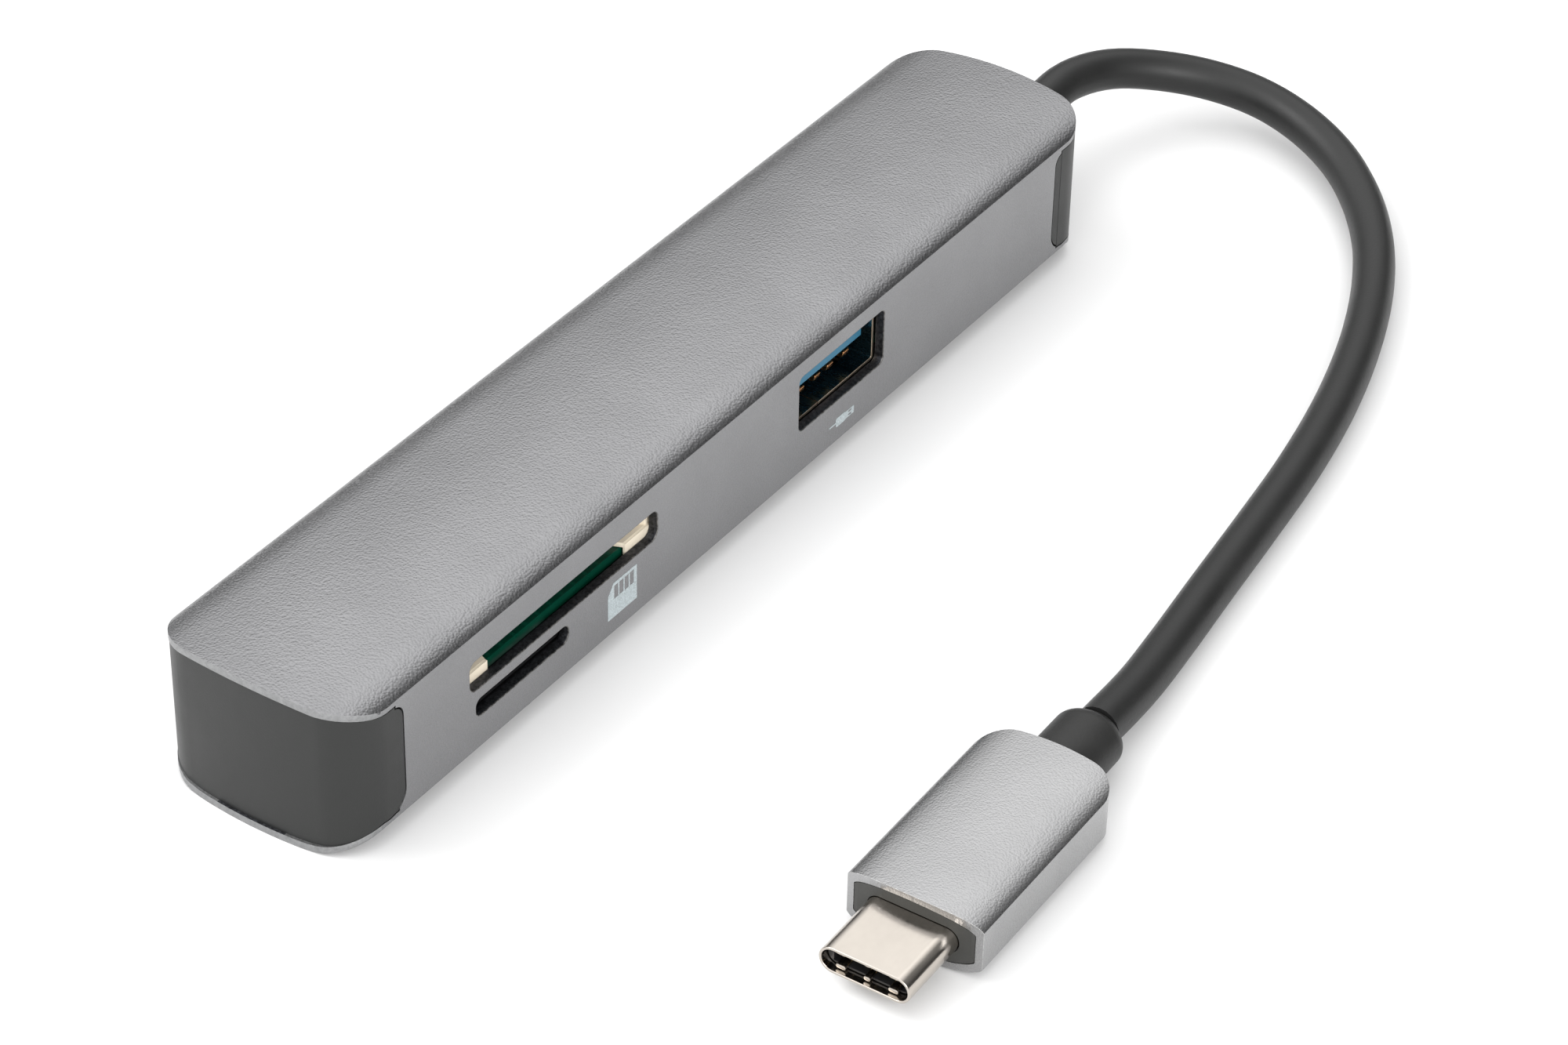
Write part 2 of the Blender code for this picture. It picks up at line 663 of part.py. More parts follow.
def usb_spring_profile():
    """Side view (y, z) of a contact spring: straight leaf, bump near the mouth, hooked tip."""
    path = [
        (9.6, 0.25),
        (6.4, 0.0),
        (3.0, -0.4),
        (2.1, -0.8),
        (1.5, -1.1),
        (1.15, -1.0),
        (1.0, -0.65),
    ]
    return thickened(path, USB_SPRING_THICKNESS)


def thickened(path, thickness):
    """A closed outline along a path in millimetres, half the thickness to each side."""
    left, right = [], []
    for i, (u, v) in enumerate(path):
        before = path[max(0, i - 1)]
        after = path[min(len(path) - 1, i + 1)]
        along = Vector((after[0] - before[0], after[1] - before[1])).normalized()
        across = Vector((-along.y, along.x)) * thickness / 2
        left.append(((u + across.x) * MM, (v + across.y) * MM))
        right.append(((u - across.x) * MM, (v - across.y) * MM))
    return left + right[::-1]


def port_frame(name, x, side):
    """An empty at the middle of a port's mouth, its local +Y running into the housing."""
    frame = bpy.data.objects.new(name, None)
    PARTS.objects.link(frame)
    frame.location = (x, side * (WALL_INSIDE - PORT_SETBACK), USB_HEIGHT)
    frame.rotation_euler = (0, 0, 0 if side < 0 else math.pi)
    return frame


def make_usb_port(prefix, x, side):
    frame = port_frame(prefix + "_frame", x, side)
    width, depth, height = USB_SHELL
    shell_outline = rounded_rectangle((width, height), (0, 0), 0.5 * MM, 2)
    shell = prism(prefix + "_shell", shell_outline, 0, depth, "y", "steel")
    inner = rounded_rectangle(
        (width - 2 * USB_SHELL_WALL, height - 2 * USB_SHELL_WALL), (0, 0), 0.2 * MM, 2
    )
    cut(shell, prism(prefix + "_bore", inner, -MM, depth + MM, "y"))
    shell.parent = frame

    tongue = box(prefix + "_tongue", TONGUE_BLOCK, (0, TONGUE_BLOCK_DEPTH, 0), "blue")
    join(tongue, box(prefix + "_plate", TONGUE_PLATE, (0, *TONGUE_PLATE_CENTRE)))
    for i, place in enumerate(USB_CONTACT_XS):
        groove_centre = (place, *TONGUE_GROOVE_CENTRE)
        cut(tongue, box(f"{prefix}_groove_{i}", TONGUE_GROOVE, groove_centre))
    tongue.parent = frame

    half = USB_CONTACT_WIDTH / 2
    for i, place in enumerate(USB_CONTACT_XS):
        spring = prism(f"{prefix}_contact_{i + 1}", usb_spring_profile(), -half, half, "x", "copper")
        set_origin(spring, (0, *USB_SPRING_ROOT))
        spring.location = (place, *USB_SPRING_ROOT)
        spring.parent = frame


def make_video_port():
    frame = port_frame("video_frame", VIDEO_X, 1)
    depth = VIDEO_SHELL[1]
    shell = prism("video_socket_shell", video_outline(0), 0, depth, "y", "steel")
    cut(shell, prism("video_bore", video_outline(-VIDEO_SHELL_WALL), -MM, depth + MM, "y"))
    shell.parent = frame
    tongue = box("video_socket_tongue", VIDEO_BLOCK, (0, VIDEO_BLOCK_DEPTH, 0), "black")
    join(tongue, box("video_plate", VIDEO_PLATE, (0, *VIDEO_PLATE_CENTRE)))
    tongue.parent = frame


def comb(name, fingers, pitch, finger, bar, root, material, rise):
    """Sprung fingers on one bar, the bar at the root and the fingers towards -Y.

    A finger is (width in metres, length and thickness in millimetres); it bends by rise
    millimetres to its contact point and part of the way back to its tip.
    """
    width, length, thickness = finger
    spread = (fingers - 1) * pitch
    solid = box(name, (spread + 2 * width, *bar), (0, 0, 0), material)
    outline = thickened([(0.2, 0.0), (-length * 0.7, rise), (-length, rise * 0.4)], thickness)
    for i in range(fingers):
        left = -spread / 2 + i * pitch - width / 2
        join(solid, prism(f"{name}_finger_{i}", outline, left, left + width, "x"))
    solid.location = root
    return solid


def make_sd_socket():
    """An open cream frame under a steel lid. The card runs on ledges along both sides."""
    x = SD_CENTRE[0]
    low = BOARD_TOP + SOCKET_LIFT
    front = -WALL_INSIDE + GAP
    back = SD_FRAME_BACK
    depth = back - front
    middle = (back + front) / 2
    height = SD_FRAME_TOP - low
    frame = box(
        "sd_socket_frame",
        (SD_FRAME_WIDTH, depth, height),
        (x, middle, low + height / 2),
        "cream",
    )
    left = x - SD_WINDOW[0] / 2
    right = x + SD_WINDOW[0] / 2
    inner_back = back - SD_FRAME_BACK_WALL
    above = SD_FRAME_TOP + MM
    # The channel's half plan, as (distance from the window's end, distance from the front):
    # the side walls open out towards the mouth, to lead a card in
    lead_in = [(0.1, -1.0), (0.1, 0.0), (0.85, 1.1)]
    channel = [(left + u * MM, front + v * MM) for u, v in reversed(lead_in)]
    channel += [(right - u * MM, front + v * MM) for u, v in lead_in]
    channel += [(right - 0.85 * MM, inner_back), (left + 0.85 * MM, inner_back)]
    cut(frame, prism("sd_channel", channel, low + SD_FRAME_FLOOR, above, "z"))
    # The opening between the ledges, as (distance from a side wall, distance from the front)
    from_left = [(0.95, 5.0), (4.3, 5.0), (4.3, 1.8), (3.5, 0.0), (3.5, -1.0)]
    from_right = [(3.3, -1.0), (3.3, 0.0), (4.1, 1.8), (4.1, 5.0), (0.95, 5.0)]
    opening = [(left + u * MM, front + v * MM) for u, v in from_left]
    opening += [(right - u * MM, front + v * MM) for u, v in from_right]
    opening += [(right - 0.95 * MM, inner_back), (left + 0.95 * MM, inner_back)]
    cut(frame, prism("sd_opening", opening, low - MM, above, "z"))

    lid_middle = SD_FRAME_TOP + GAP + SD_LID_THICKNESS / 2
    lid_size = (SD_FRAME_WIDTH, depth, SD_LID_THICKNESS)
    lid = box("sd_socket_lid", lid_size, (x, middle, lid_middle), "steel")
    cut(lid, box("lid_window", (*SD_LID_WINDOW, MM), (x, MM, lid_middle)))
    comb(
        "sd_contact_comb",
        9,
        2.5 * MM,
        (1.0 * MM, 4.6, 0.2),
        (0.9 * MM, 0.5 * MM),
        (x, *SD_SPRING_ROOT),
        "copper",
        0.5,
    )


def make_microsd_socket():
    x = MICRO_CENTRE[0]
    z = MICRO_CENTRE[1] + 0.07 * MM
    front = -WALL_INSIDE + GAP
    outline = rounded_rectangle(MICRO_SHELL, (x, z), 0.3 * MM, 2)
    shell = prism("microsd_socket_shell", outline, front, MICRO_BACK, "y", "black")
    bore = rounded_rectangle(MICRO_BORE, (x, z), 0.2 * MM, 2)
    cut(shell, prism("microsd_bore", bore, front - MM, MICRO_BACK + MM, "y"))
    base_y = MICRO_BACK - 0.1 * MM - MICRO_BASE[1] / 2
    box("microsd_socket_base", MICRO_BASE, (x, base_y, z), "black")
    comb(
        "microsd_contact_comb",
        8,
        1.1 * MM,
        (0.6 * MM, 3.4, 0.15),
        (0.7 * MM, 0.3 * MM),
        (x, *MICRO_SPRING_ROOT),
        "gold",
        -0.45,
    )


# ---------------------------------------------------------------- cable end and cable


def boot_profile():
    """Half section (radius, height) of a boot, cable end up: shoulder, body, stem and flange."""
    radius = BOOT_WIDTH / 2
    bend = (radius - BOOT_SHOULDER, BOOT_LENGTH - BOOT_SHOULDER)
    top = [(0.0, BOOT_LENGTH), (bend[0], BOOT_LENGTH)]
    top += arc(bend, (BOOT_SHOULDER, BOOT_SHOULDER), 72, 0, 4)
    stem = [
        (radius, 0.0),
        (BOOT_STEM, 0.0),
        (BOOT_STEM, -BOOT_FLANGE_START),
        (BOOT_FLANGE, -BOOT_FLANGE_START),
        (BOOT_FLANGE, -BOOT_INSIDE),
        (0.0, -BOOT_INSIDE),
    ]
    return top + stem


def make_boot(name, material):
    """A boot whose axis is +X, flattened to an oval."""
    boot = turned(name, boot_profile(), 24, material)
    boot.rotation_euler = (0, math.pi / 2, 0)
    boot.scale = (BOOT_HEIGHT / BOOT_WIDTH, 1, 1)
    boot.data.shade_smooth()
    return boot


def make_hub_strain_relief():
    boot = make_boot("hub_strain_relief", "rubber")
    boot.location = (BOOT_START, 0, CABLE_HEIGHT)


def make_cable_core():
    """The crimp behind the boot's flange and four wires that fan out from it to the board."""
    crimp_span = (CRIMP_START, BOOT_START - BOOT_INSIDE - GAP)
    rod("cable_crimp", CRIMP_RADIUS, *crimp_span, "x", (0, CABLE_HEIGHT), 16, "steel")
    z = BOARD_TOP + WIRE_LIFT
    for i, y in enumerate(WIRE_YS):
        start = (CRIMP_START - GAP, y * 0.22 * MM, CABLE_HEIGHT + 0.4 * MM)
        bend = (CRIMP_START - 1.8 * MM, y * 0.45 * MM, z - 0.1 * MM)
        settle = (CRIMP_START - 4.0 * MM, y * 0.9 * MM, z)
        pad = (CRIMP_START - 6.4 * MM, y * MM, z)
        tube(f"signal_wire_{i + 1}", (start, bend, settle, pad), WIRE_RADIUS, "wire")


def smooth_route(route, count):
    """Evenly spaced points on a Catmull-Rom curve through the route's points."""
    knots = [Vector(point) * MM for point in route]
    knots = [2 * knots[0] - knots[1]] + knots + [2 * knots[-1] - knots[-2]]
    dense = []
    for i in range(1, len(knots) - 2):
        before, start, end, after = knots[i - 1 : i + 3]
        for step in range(20):
            t = step / 20
            dense.append(
                0.5
                * (
                    2 * start
                    + (end - before) * t
                    + (2 * before - 5 * start + 4 * end - after) * t**2
                    + (3 * start - before - 3 * end + after) * t**3
                )
            )
    dense.append(knots[-2])
    lengths = [0.0]
    for a, b in zip(dense, dense[1:]):
        lengths.append(lengths[-1] + (b - a).length)
    points = []
    for i in range(count):
        wanted = lengths[-1] * i / (count - 1)
        j = max(1, next(k for k, length in enumerate(lengths) if length >= wanted - 1e-12))
        share = (wanted - lengths[j - 1]) / (lengths[j] - lengths[j - 1])
        points.append(dense[j - 1].lerp(dense[j], share))
    return points


def make_cable():
    tube("cable", smooth_route(CABLE_ROUTE, CABLE_POINTS), CABLE_DIAMETER / 2, "rubber")


# ---------------------------------------------------------------- plug


def usbc_outline(inset):
    size = (USBC_WIDTH - 2 * inset, USBC_HEIGHT - 2 * inset)
    return rounded_rectangle(size, (0, 0), size[1] / 2 - 0.02 * MM, 6)


def make_plug_sleeve(plan):
    sleeve = prism("plug_sleeve", plug_section(), -MM, PLUG_LENGTH + MM, "x", "plug_aluminium")
    keep_inside(sleeve, plan)
    inside = plug_section(PLUG_SIDE_WALL, PLUG_FLAT_WALL)
    cut(sleeve, prism("plug_cavity", inside, -2 * MM, PLUG_LENGTH - PLUG_TAIL_WALL, "x"))
    hole_span = (PLUG_LENGTH - 3 * MM, PLUG_LENGTH + 2 * MM)
    hole = rod("plug_tail_hole", 1.0, *hole_span, "x", (0, 0), 24)
    hole.data.transform(Matrix.Diagonal((1, *PLUG_TAIL_HOLE, 1)))
    cut(sleeve, hole)
    smooth_round(sleeve, 25)
    return sleeve


def make_plug_insert(plan):
    """The dark plate in the sleeve's mouth, with a hole for the metal shell."""
    section = plug_section(PLUG_SIDE_WALL + PLUG_INSERT_GAP, PLUG_FLAT_WALL + PLUG_INSERT_GAP)
    insert = prism("plug_front_insert", section, *PLUG_INSERT, "x", "insert")
    keep_inside(insert, plan)
    cut(insert, prism("insert_mouth", usbc_outline(-PLUG_INSERT_GAP), -MM, 5 * MM, "x"))
    return insert


def make_plug_core():
    """The inner moulding and the small board in its slot."""
    section = plug_section(PLUG_SIDE_WALL + GAP, PLUG_FLAT_WALL + GAP)
    mould = prism("plug_inner_mould", section, *PLUG_MOULD, "x", "white")
    slot_middle = PLUG_BOARD_START - GAP + PLUG_MOULD_SLOT[0] / 2
    cut(mould, box("mould_slot", PLUG_MOULD_SLOT, (slot_middle, 0, 0)))
    board_middle = PLUG_BOARD_START + PLUG_BOARD[0] / 2
    return mould, box("plug_board", PLUG_BOARD, (board_middle, 0, 0), "board")


def make_plug_shell():
    """The metal shell and the moulding inside it that holds the contacts."""
    shell = prism("plug_shell", usbc_outline(0), -USBC_OUT, USBC_IN, "x", "nickel")
    cut(shell, prism("shell_bore", usbc_outline(USBC_WALL), -USBC_OUT - MM, USBC_IN + MM, "x"))
    smooth_round(shell, 40)
    outline = usbc_outline(USBC_WALL + INSULATOR_GAP)
    insulator = prism("plug_insulator", outline, *INSULATOR, "x", "black")
    hollow_start = -USBC_OUT - MM
    hollow_length = INSULATOR_HOLLOW_END - hollow_start
    hollow_middle = hollow_start + hollow_length / 2
    hollow = box("insulator_hollow", (hollow_length, *INSULATOR_HOLLOW), (hollow_middle, 0, 0))
    cut(insulator, hollow)
    return shell, insulator


def make_plug_contacts():
    """Two rows of sprung fingers that point out of the mouth, one above and one below."""
    rows = []
    for name, way in (("plug_contacts_upper", 1), ("plug_contacts_lower", -1)):
        root = (PLUG_SPRING_ROOT[0], 0, way * PLUG_SPRING_ROOT[1])
        finger = (0.4 * MM, 4.2, 0.12)
        row = comb(name, 5, 1.1 * MM, finger, (0.4 * MM, 0.2 * MM), root, "gold", -0.1 * way)
        row.rotation_euler = (0, 0, -math.pi / 2)
        rows.append(row)
    return rows


def make_plug():
    frame = bpy.data.objects.new("plug_frame", None)
    PARTS.objects.link(frame)
    frame.location = PLUG_MOUTH
    frame.rotation_euler = (0, 0, PLUG_YAW)
    plan = prism("plug_plan", plug_plan(), -PLUG_WIDTH / 2, PLUG_WIDTH / 2, "z")
    boot = make_boot("plug_strain_relief", "rubber")
    boot.location = (PLUG_LENGTH + 0.1 * MM, 0, 0)
    pieces = [make_plug_sleeve(plan), make_plug_insert(plan), boot]
    pieces += [*make_plug_core(), *make_plug_shell(), *make_plug_contacts()]
    for obj in pieces:
        obj.parent = frame


# ---------------------------------------------------------------- the whole object


def main():
    make_housing_sleeve()
    make_end_cap("plain_end_cap", -1)
    make_cable_end_cap()
    make_insulating_tray()
    make_main_board()
    make_board_parts()
    make_usb_port("front_usb", FRONT_USB_X, -1)
    make_usb_port("rear_usb", REAR_USB_X, 1)
    make_video_port()
    make_sd_socket()
    make_microsd_socket()
    make_hub_strain_relief()
    make_cable_core()
    make_cable()
    make_plug()


clear_scene()
PARTS = new_collection("usb_hub")
CUTTERS = new_collection("cutters")
MATERIALS = make_materials()
main()
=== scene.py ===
"""Looks of the port hub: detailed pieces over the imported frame, materials, light and camera."""

import math

import bmesh
import bpy
from mathutils import Matrix, Vector


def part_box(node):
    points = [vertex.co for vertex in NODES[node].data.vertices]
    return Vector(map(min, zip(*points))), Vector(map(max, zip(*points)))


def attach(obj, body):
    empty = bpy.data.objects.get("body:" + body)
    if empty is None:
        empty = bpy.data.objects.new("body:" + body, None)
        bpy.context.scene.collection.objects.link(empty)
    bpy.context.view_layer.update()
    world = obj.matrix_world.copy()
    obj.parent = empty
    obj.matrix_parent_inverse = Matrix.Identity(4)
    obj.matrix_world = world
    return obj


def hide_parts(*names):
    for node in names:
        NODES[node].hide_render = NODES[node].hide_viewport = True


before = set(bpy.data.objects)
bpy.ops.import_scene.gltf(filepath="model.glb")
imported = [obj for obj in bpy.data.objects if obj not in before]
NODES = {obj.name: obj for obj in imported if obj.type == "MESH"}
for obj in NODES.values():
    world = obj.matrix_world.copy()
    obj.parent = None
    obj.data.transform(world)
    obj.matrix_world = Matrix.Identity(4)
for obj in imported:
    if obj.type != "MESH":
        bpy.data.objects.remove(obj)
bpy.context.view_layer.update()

MM = 0.001

# Housing, in metres
HALF_LENGTH = 56 * MM
HALF_WIDTH = 10.5 * MM
BELLY_RISE = 2.05 * MM
BELLY_ROLL = 6.1 * MM
CREASE_HEIGHT = 13.9 * MM
TOP_ROLL = 3.4 * MM
TOP_RISE = 1.2 * MM
TOP_CROWN = 0.35 * MM
BELLY_CREASE = 15
TOP_CREASE = 10
PLAN_RADIUS = 4.0 * MM
END_BOW = 1.2 * MM
SIDE_WALL = 0.9 * MM
FLAT_WALL = 0.7 * MM
NOTCH_REACH = 48.7 * MM
NOTCH_TOP_RADIUS = 1.2 * MM
NOTCH_SILL = 0.35 * MM
NOTCH_BELLY_RADIUS = 2.0 * MM
SEAM = 0.12 * MM
CAP_SHOULDER = HALF_LENGTH - END_BOW - PLAN_RADIUS - 1.0 * MM
CAP_SETBACK = 0.25 * MM
WALL_INSIDE = HALF_WIDTH - SIDE_WALL
CABLE_HEIGHT = 7.7 * MM
LIP_START = CAP_SHOULDER - 0.15 * MM
CAP_OVERLAP = 0.12 * MM  # how far a cap reaches into the lips above and below it
CAP_WALL_GAP = 0.02 * MM  # a cap stands this far behind the side walls
CAP_EDGE = 0.12 * MM
CABLE_HOLE = (2.7 * MM, 2.2 * MM)
CABLE_HOLE_SPAN = (52 * MM, 58 * MM)
WINDOW_EDGE = 0.1 * MM
SLEEVE_EDGE = 0.11 * MM
TALL = 20 * MM
CROWN_STEPS = 10

# The sleeve's material slots: its skin, burred edges, cut faces inside darkened as painted shade,
# window rims and ends
SLEEVE_LOOKS = ("sleeve", "edge", "inside", "rim", "band")
EDGE_SLOT, PAINTED_SHADE_SLOT, RIM_SLOT, BAND_SLOT = 1, 2, 3, 4

# Port windows: (centre x, centre z, width, height, corner radius, side)
USB_HEIGHT = 9.36 * MM
FRONT_USB_X = 13.4 * MM
REAR_USB_X = 31.0 * MM
VIDEO_X = -4.0 * MM
USB_WINDOW = (13.3 * MM, 5.75 * MM, 0.6 * MM)
SD_WINDOW = (-27.3 * MM, 9.65 * MM, 25.8 * MM, 2.98 * MM, 0.8 * MM, -1)
MICROSD_WINDOW = (-33.25 * MM, 6.1 * MM, 12.5 * MM, 1.75 * MM, 0.7 * MM, -1)
WINDOWS = (
    (FRONT_USB_X, USB_HEIGHT, *USB_WINDOW, -1),
    (REAR_USB_X, USB_HEIGHT, *USB_WINDOW, 1),
    SD_WINDOW,
    MICROSD_WINDOW,
)
VIDEO_OPENING = (VIDEO_X, USB_HEIGHT, 15.3 * MM, 5.8 * MM)
OPENINGS = (*(window[:4] for window in WINDOWS), VIDEO_OPENING)

# USB ports; paths and boxes are in millimetres in the port's own frame
PORT_SETBACK = 0.1 * MM
USB_SHELL = (13.1 * MM, 13.6 * MM, 5.7 * MM)
USB_SHELL_WALL = 0.3 * MM
USB_SHELL_RADIUS = 0.45 * MM
USB_BORE_RADIUS = 0.15 * MM
USB_SEAM = ((-2.25, -1, -4), (-2.16, 15, -2))
USB_LEAF_XS = (-3.3, 3.3)
USB_LEAF = (0.22, 0.8)  # thickness and half width
USB_LEAF_WINDOW = (1.05, 2.0, 8.2)  # half width, start and end
LEAF_PATH = ((8.8, 2.7), (6.2, 2.55), (4.2, 2.25), (3.3, 2.15), (2.5, 2.45))
TONGUE_PLATE = ((0.9, -0.15), (10.9, -0.15), (10.9, 1.69), (0.95, 1.69), (0.7, 1.5), (0.7, 0.05))
TONGUE_HALF = 5.55 * MM
TONGUE_BLOCK = ((-6.1, 10.1, -2.4), (6.1, 13.3, 2.4))
GROOVE = (0.55, (0.85, 10.05), (-0.6, 0.7))  # half width, depth span and height span
USB_CONTACT_XS = (-3.5, -1.0, 1.0, 3.5)
USB_CONTACT = (0.2, 0.45)  # thickness and half width
CONTACT_ARM = ((9.6, 0.25), (6.4, 0.0), (3.0, -0.4))
CONTACT_BUMP = ((2.1, -0.85), (1.5, -1.25), (1.12, -1.1), (0.98, -0.6))

# Video port; boxes are in millimetres in the port's own frame
VIDEO_HALF = (7.5 * MM, 2.75 * MM)
VIDEO_SLANT = (1.9 * MM, 2.8 * MM)
VIDEO_CLEARANCE = 0.15 * MM
VIDEO_DEPTH = 11 * MM
VIDEO_WALL = 0.35 * MM
VIDEO_TONGUE = ((-5, 1.2, -0.2), (5, 8.4, 0.8))
VIDEO_BLOCK = ((-5, 7.8, -2.15), (5, 10.8, 2.15))
VIDEO_ROWS = ((1, 10, 0.8), (-1, 9, -0.2))  # which face, number of strips, the face's height
VIDEO_PITCH = 0.98
VIDEO_STRIP = (0.2, 1.5, 7.9)  # half width, start and end

# Card frame: outlines in millimetres inwards from the slot's ends and from the frame's front
CARD_BACK_WALL = 1.2 * MM
CARD_FLOOR = 0.45 * MM
CARD_LEAD_IN = ((0.1, -1.0), (0.1, 0.0), (0.85, 1.1))
CARD_CHANNEL_BACK = 0.85 * MM
CARD_OPENING_LEFT = ((0.95, 5.0), (4.3, 5.0), (4.3, 1.8), (3.5, 0.0), (3.5, -1.0))
CARD_OPENING_RIGHT = ((3.3, -1.0), (3.3, 0.0), (4.1, 1.8), (4.1, 5.0), (0.95, 5.0))
CARD_OPENING_BACK = 0.95 * MM
CARD_FOOT_OUT = 0.6 * MM
CARD_FOOT_IN = (3.5 * MM, 3.3 * MM)
CARD_FOOT_DEPTH = (-0.24 * MM, 0.04 * MM)
CARD_FOOT_HEIGHT = (-0.75 * MM, 0.42 * MM)

# Printed marks, in millimetres
MARK_SKIN = (-0.015 * MM, 0.01 * MM)
CARD_MARK = ((-21.5, 3.6), (-17.4, 3.6), (-17.4, 7.2), (-20.7, 7.2), (-21.5, 6.1))
CARD_MARK_BARS = (4, -20.62, 0.74, 0.58)  # number, first left edge, pitch and width
PLUG_MARK_SIZE = (1.5 * MM, 0.95 * MM)
PLUG_MARK_CENTRE = (13.4 * MM, 4 * MM)
PLUG_MARK_LEAD = ((11.6, 3.92), (12.7, 4.08))
PLUG_MARK_TIP = ((14.1, 3.62), (15.5, 4.38))
PLUG_MARK_HOLES = (3.82, 4.18)

# Cable: the same route as the solid's, in metres
CABLE_DIAMETER = 4.0 * MM
CABLE_ROUTE = (
    (0.06275, 0, 0.0077),
    (0.068, -0.0001, 0.0079),
    (0.073, -0.0017, 0.00735),
    (0.077, -0.0049, 0.0064),
    (0.0797, -0.0094, 0.0056),
    (0.0807, -0.0146, 0.00495),
    (0.0799, -0.02, 0.00425),
    (0.0774, -0.0254, 0.00355),
    (0.0734, -0.0302, 0.0029),
    (0.0686, -0.0341, 0.0024),
    (0.0632, -0.0372, 0.0021),
    (0.057, -0.0399, 0.00205),
    (0.05, -0.0423, 0.00205),
    (0.042, -0.0444, 0.00205),
    (0.033, -0.0461, 0.00205),
    (0.024, -0.0473, 0.00205),
    (0.014, -0.0485, 0.00205),
    (0.0054, -0.0496, 0.0021),
    (-0.0015, -0.05045, 0.00245),
    (-0.00867, -0.05093, 0.0031),
)
CABLE_POINTS = 121

# Boots
BOOT_RADIUS = 3.2 * MM
BOOT_FLATTEN = 5.2 / 6.4
BOOT_LENGTH = 6.4 * MM
BOOT_SHOULDER = 1.5 * MM
BOOT_START = HALF_LENGTH + 0.05 * MM
BOOT_EDGE = 0.12 * MM
BOOT_LIP = 0.32 * MM  # the end that closes round the cable
BOOT_NECK_RADIUS = 2.4 * MM
BOOT_FLANGE_RADIUS = 2.9 * MM
BOOT_FLANGE = (-2.2 * MM, -3.3 * MM)
BOOT_SIDES = 64

# Plug: in its own frame the cable leaves towards +X, and the sleeve's mouth is just past X = 0
PLUG_FRAME = Matrix.Translation((-37.9 * MM, -51.7 * MM, 3.1 * MM)) @ Matrix.Rotation(
    math.radians(1.5), 4, "Z"
)
PLUG_LENGTH = 22.5 * MM
PLUG_HALF_WIDTH = 6.25 * MM
PLUG_CREASE = 1.95 * MM
PLUG_ROLL = 3.1 * MM
PLUG_RISE = 0.95 * MM
PLUG_CROWN = 0.15 * MM
PLUG_MOUTH_SETBACK = 0.3 * MM
PLUG_MOUTH_BOW = 0.5 * MM
PLUG_TAIL_BOW = 0.45 * MM
PLUG_TAIL_RADIUS = 2.7 * MM
PLUG_SIDE_WALL = 0.65 * MM
PLUG_FLAT_WALL = 0.55 * MM
USBC_WIDTH = 8.34 * MM
USBC_HEIGHT = 2.56 * MM
USBC_OUT = 6.6 * MM
USBC_WALL = 0.25 * MM
PLUG_TAIL_HOLE = (2.7 * MM, 2.25 * MM)
PLUG_FACE_SPAN = (0.4 * MM, 3.2 * MM)
PLUG_FACE_GAP = 0.05 * MM
PLUG_CORE_SETBACK = 0.9 * MM
PLUG_CORE_HOLLOW = (0.6 * MM, 3.3 * MM, 0.75 * MM)  # its end, half width and half height
GROUND_SPRINGS = ((-2.4, 0.9 * MM), (0.0, 0.6 * MM), (2.4, 0.9 * MM))  # place across, width
GROUND_SPRING_HEIGHT = 0.42 * MM
GROUND_SPRING_RISE = 0.72 * MM
GROUND_SPRING_SPAN = (0.45 * MM, 1.5 * MM)  # start behind the mouth, and length

# Stage, light and camera
FLOOR_HALF = 1.6
PAPER = (0.71, 0.71, 0.71)
DOME_TURN = (-0.15, 0.3)
DOME_NEAR, DOME_FAR, DOME_TOP = 1.5, 0.03, 2.05
DOME_SIDE = 0.4
DOME_RISE = (0.15, 0.76)
DOME_ACROSS = (-0.35, 0.12)
# Lamps: (name, place, target, side, power), in metres and watts
LAMPS = (
    ("key", (-0.3, 0.55, 0.75), (0, -0.02, 0), 0.5, 3.0),
    ("fill", (-0.3, -0.5, 0.35), (0, -0.01, 0), 0.3, 2.0),
)
CAMERA_AZIMUTH, CAMERA_ELEVATION, CAMERA_ROLL = -55.97, 37.34, 1.163
CAMERA_TARGET = (-0.894, -13.197, 4.051)  # millimetres, like the distance
CAMERA_DISTANCE = 403.5
LENS_LENGTH, SENSOR_WIDTH = 106.8, 36
LENS_SHIFT = (0.0064, -0.0088)


# ---- materials


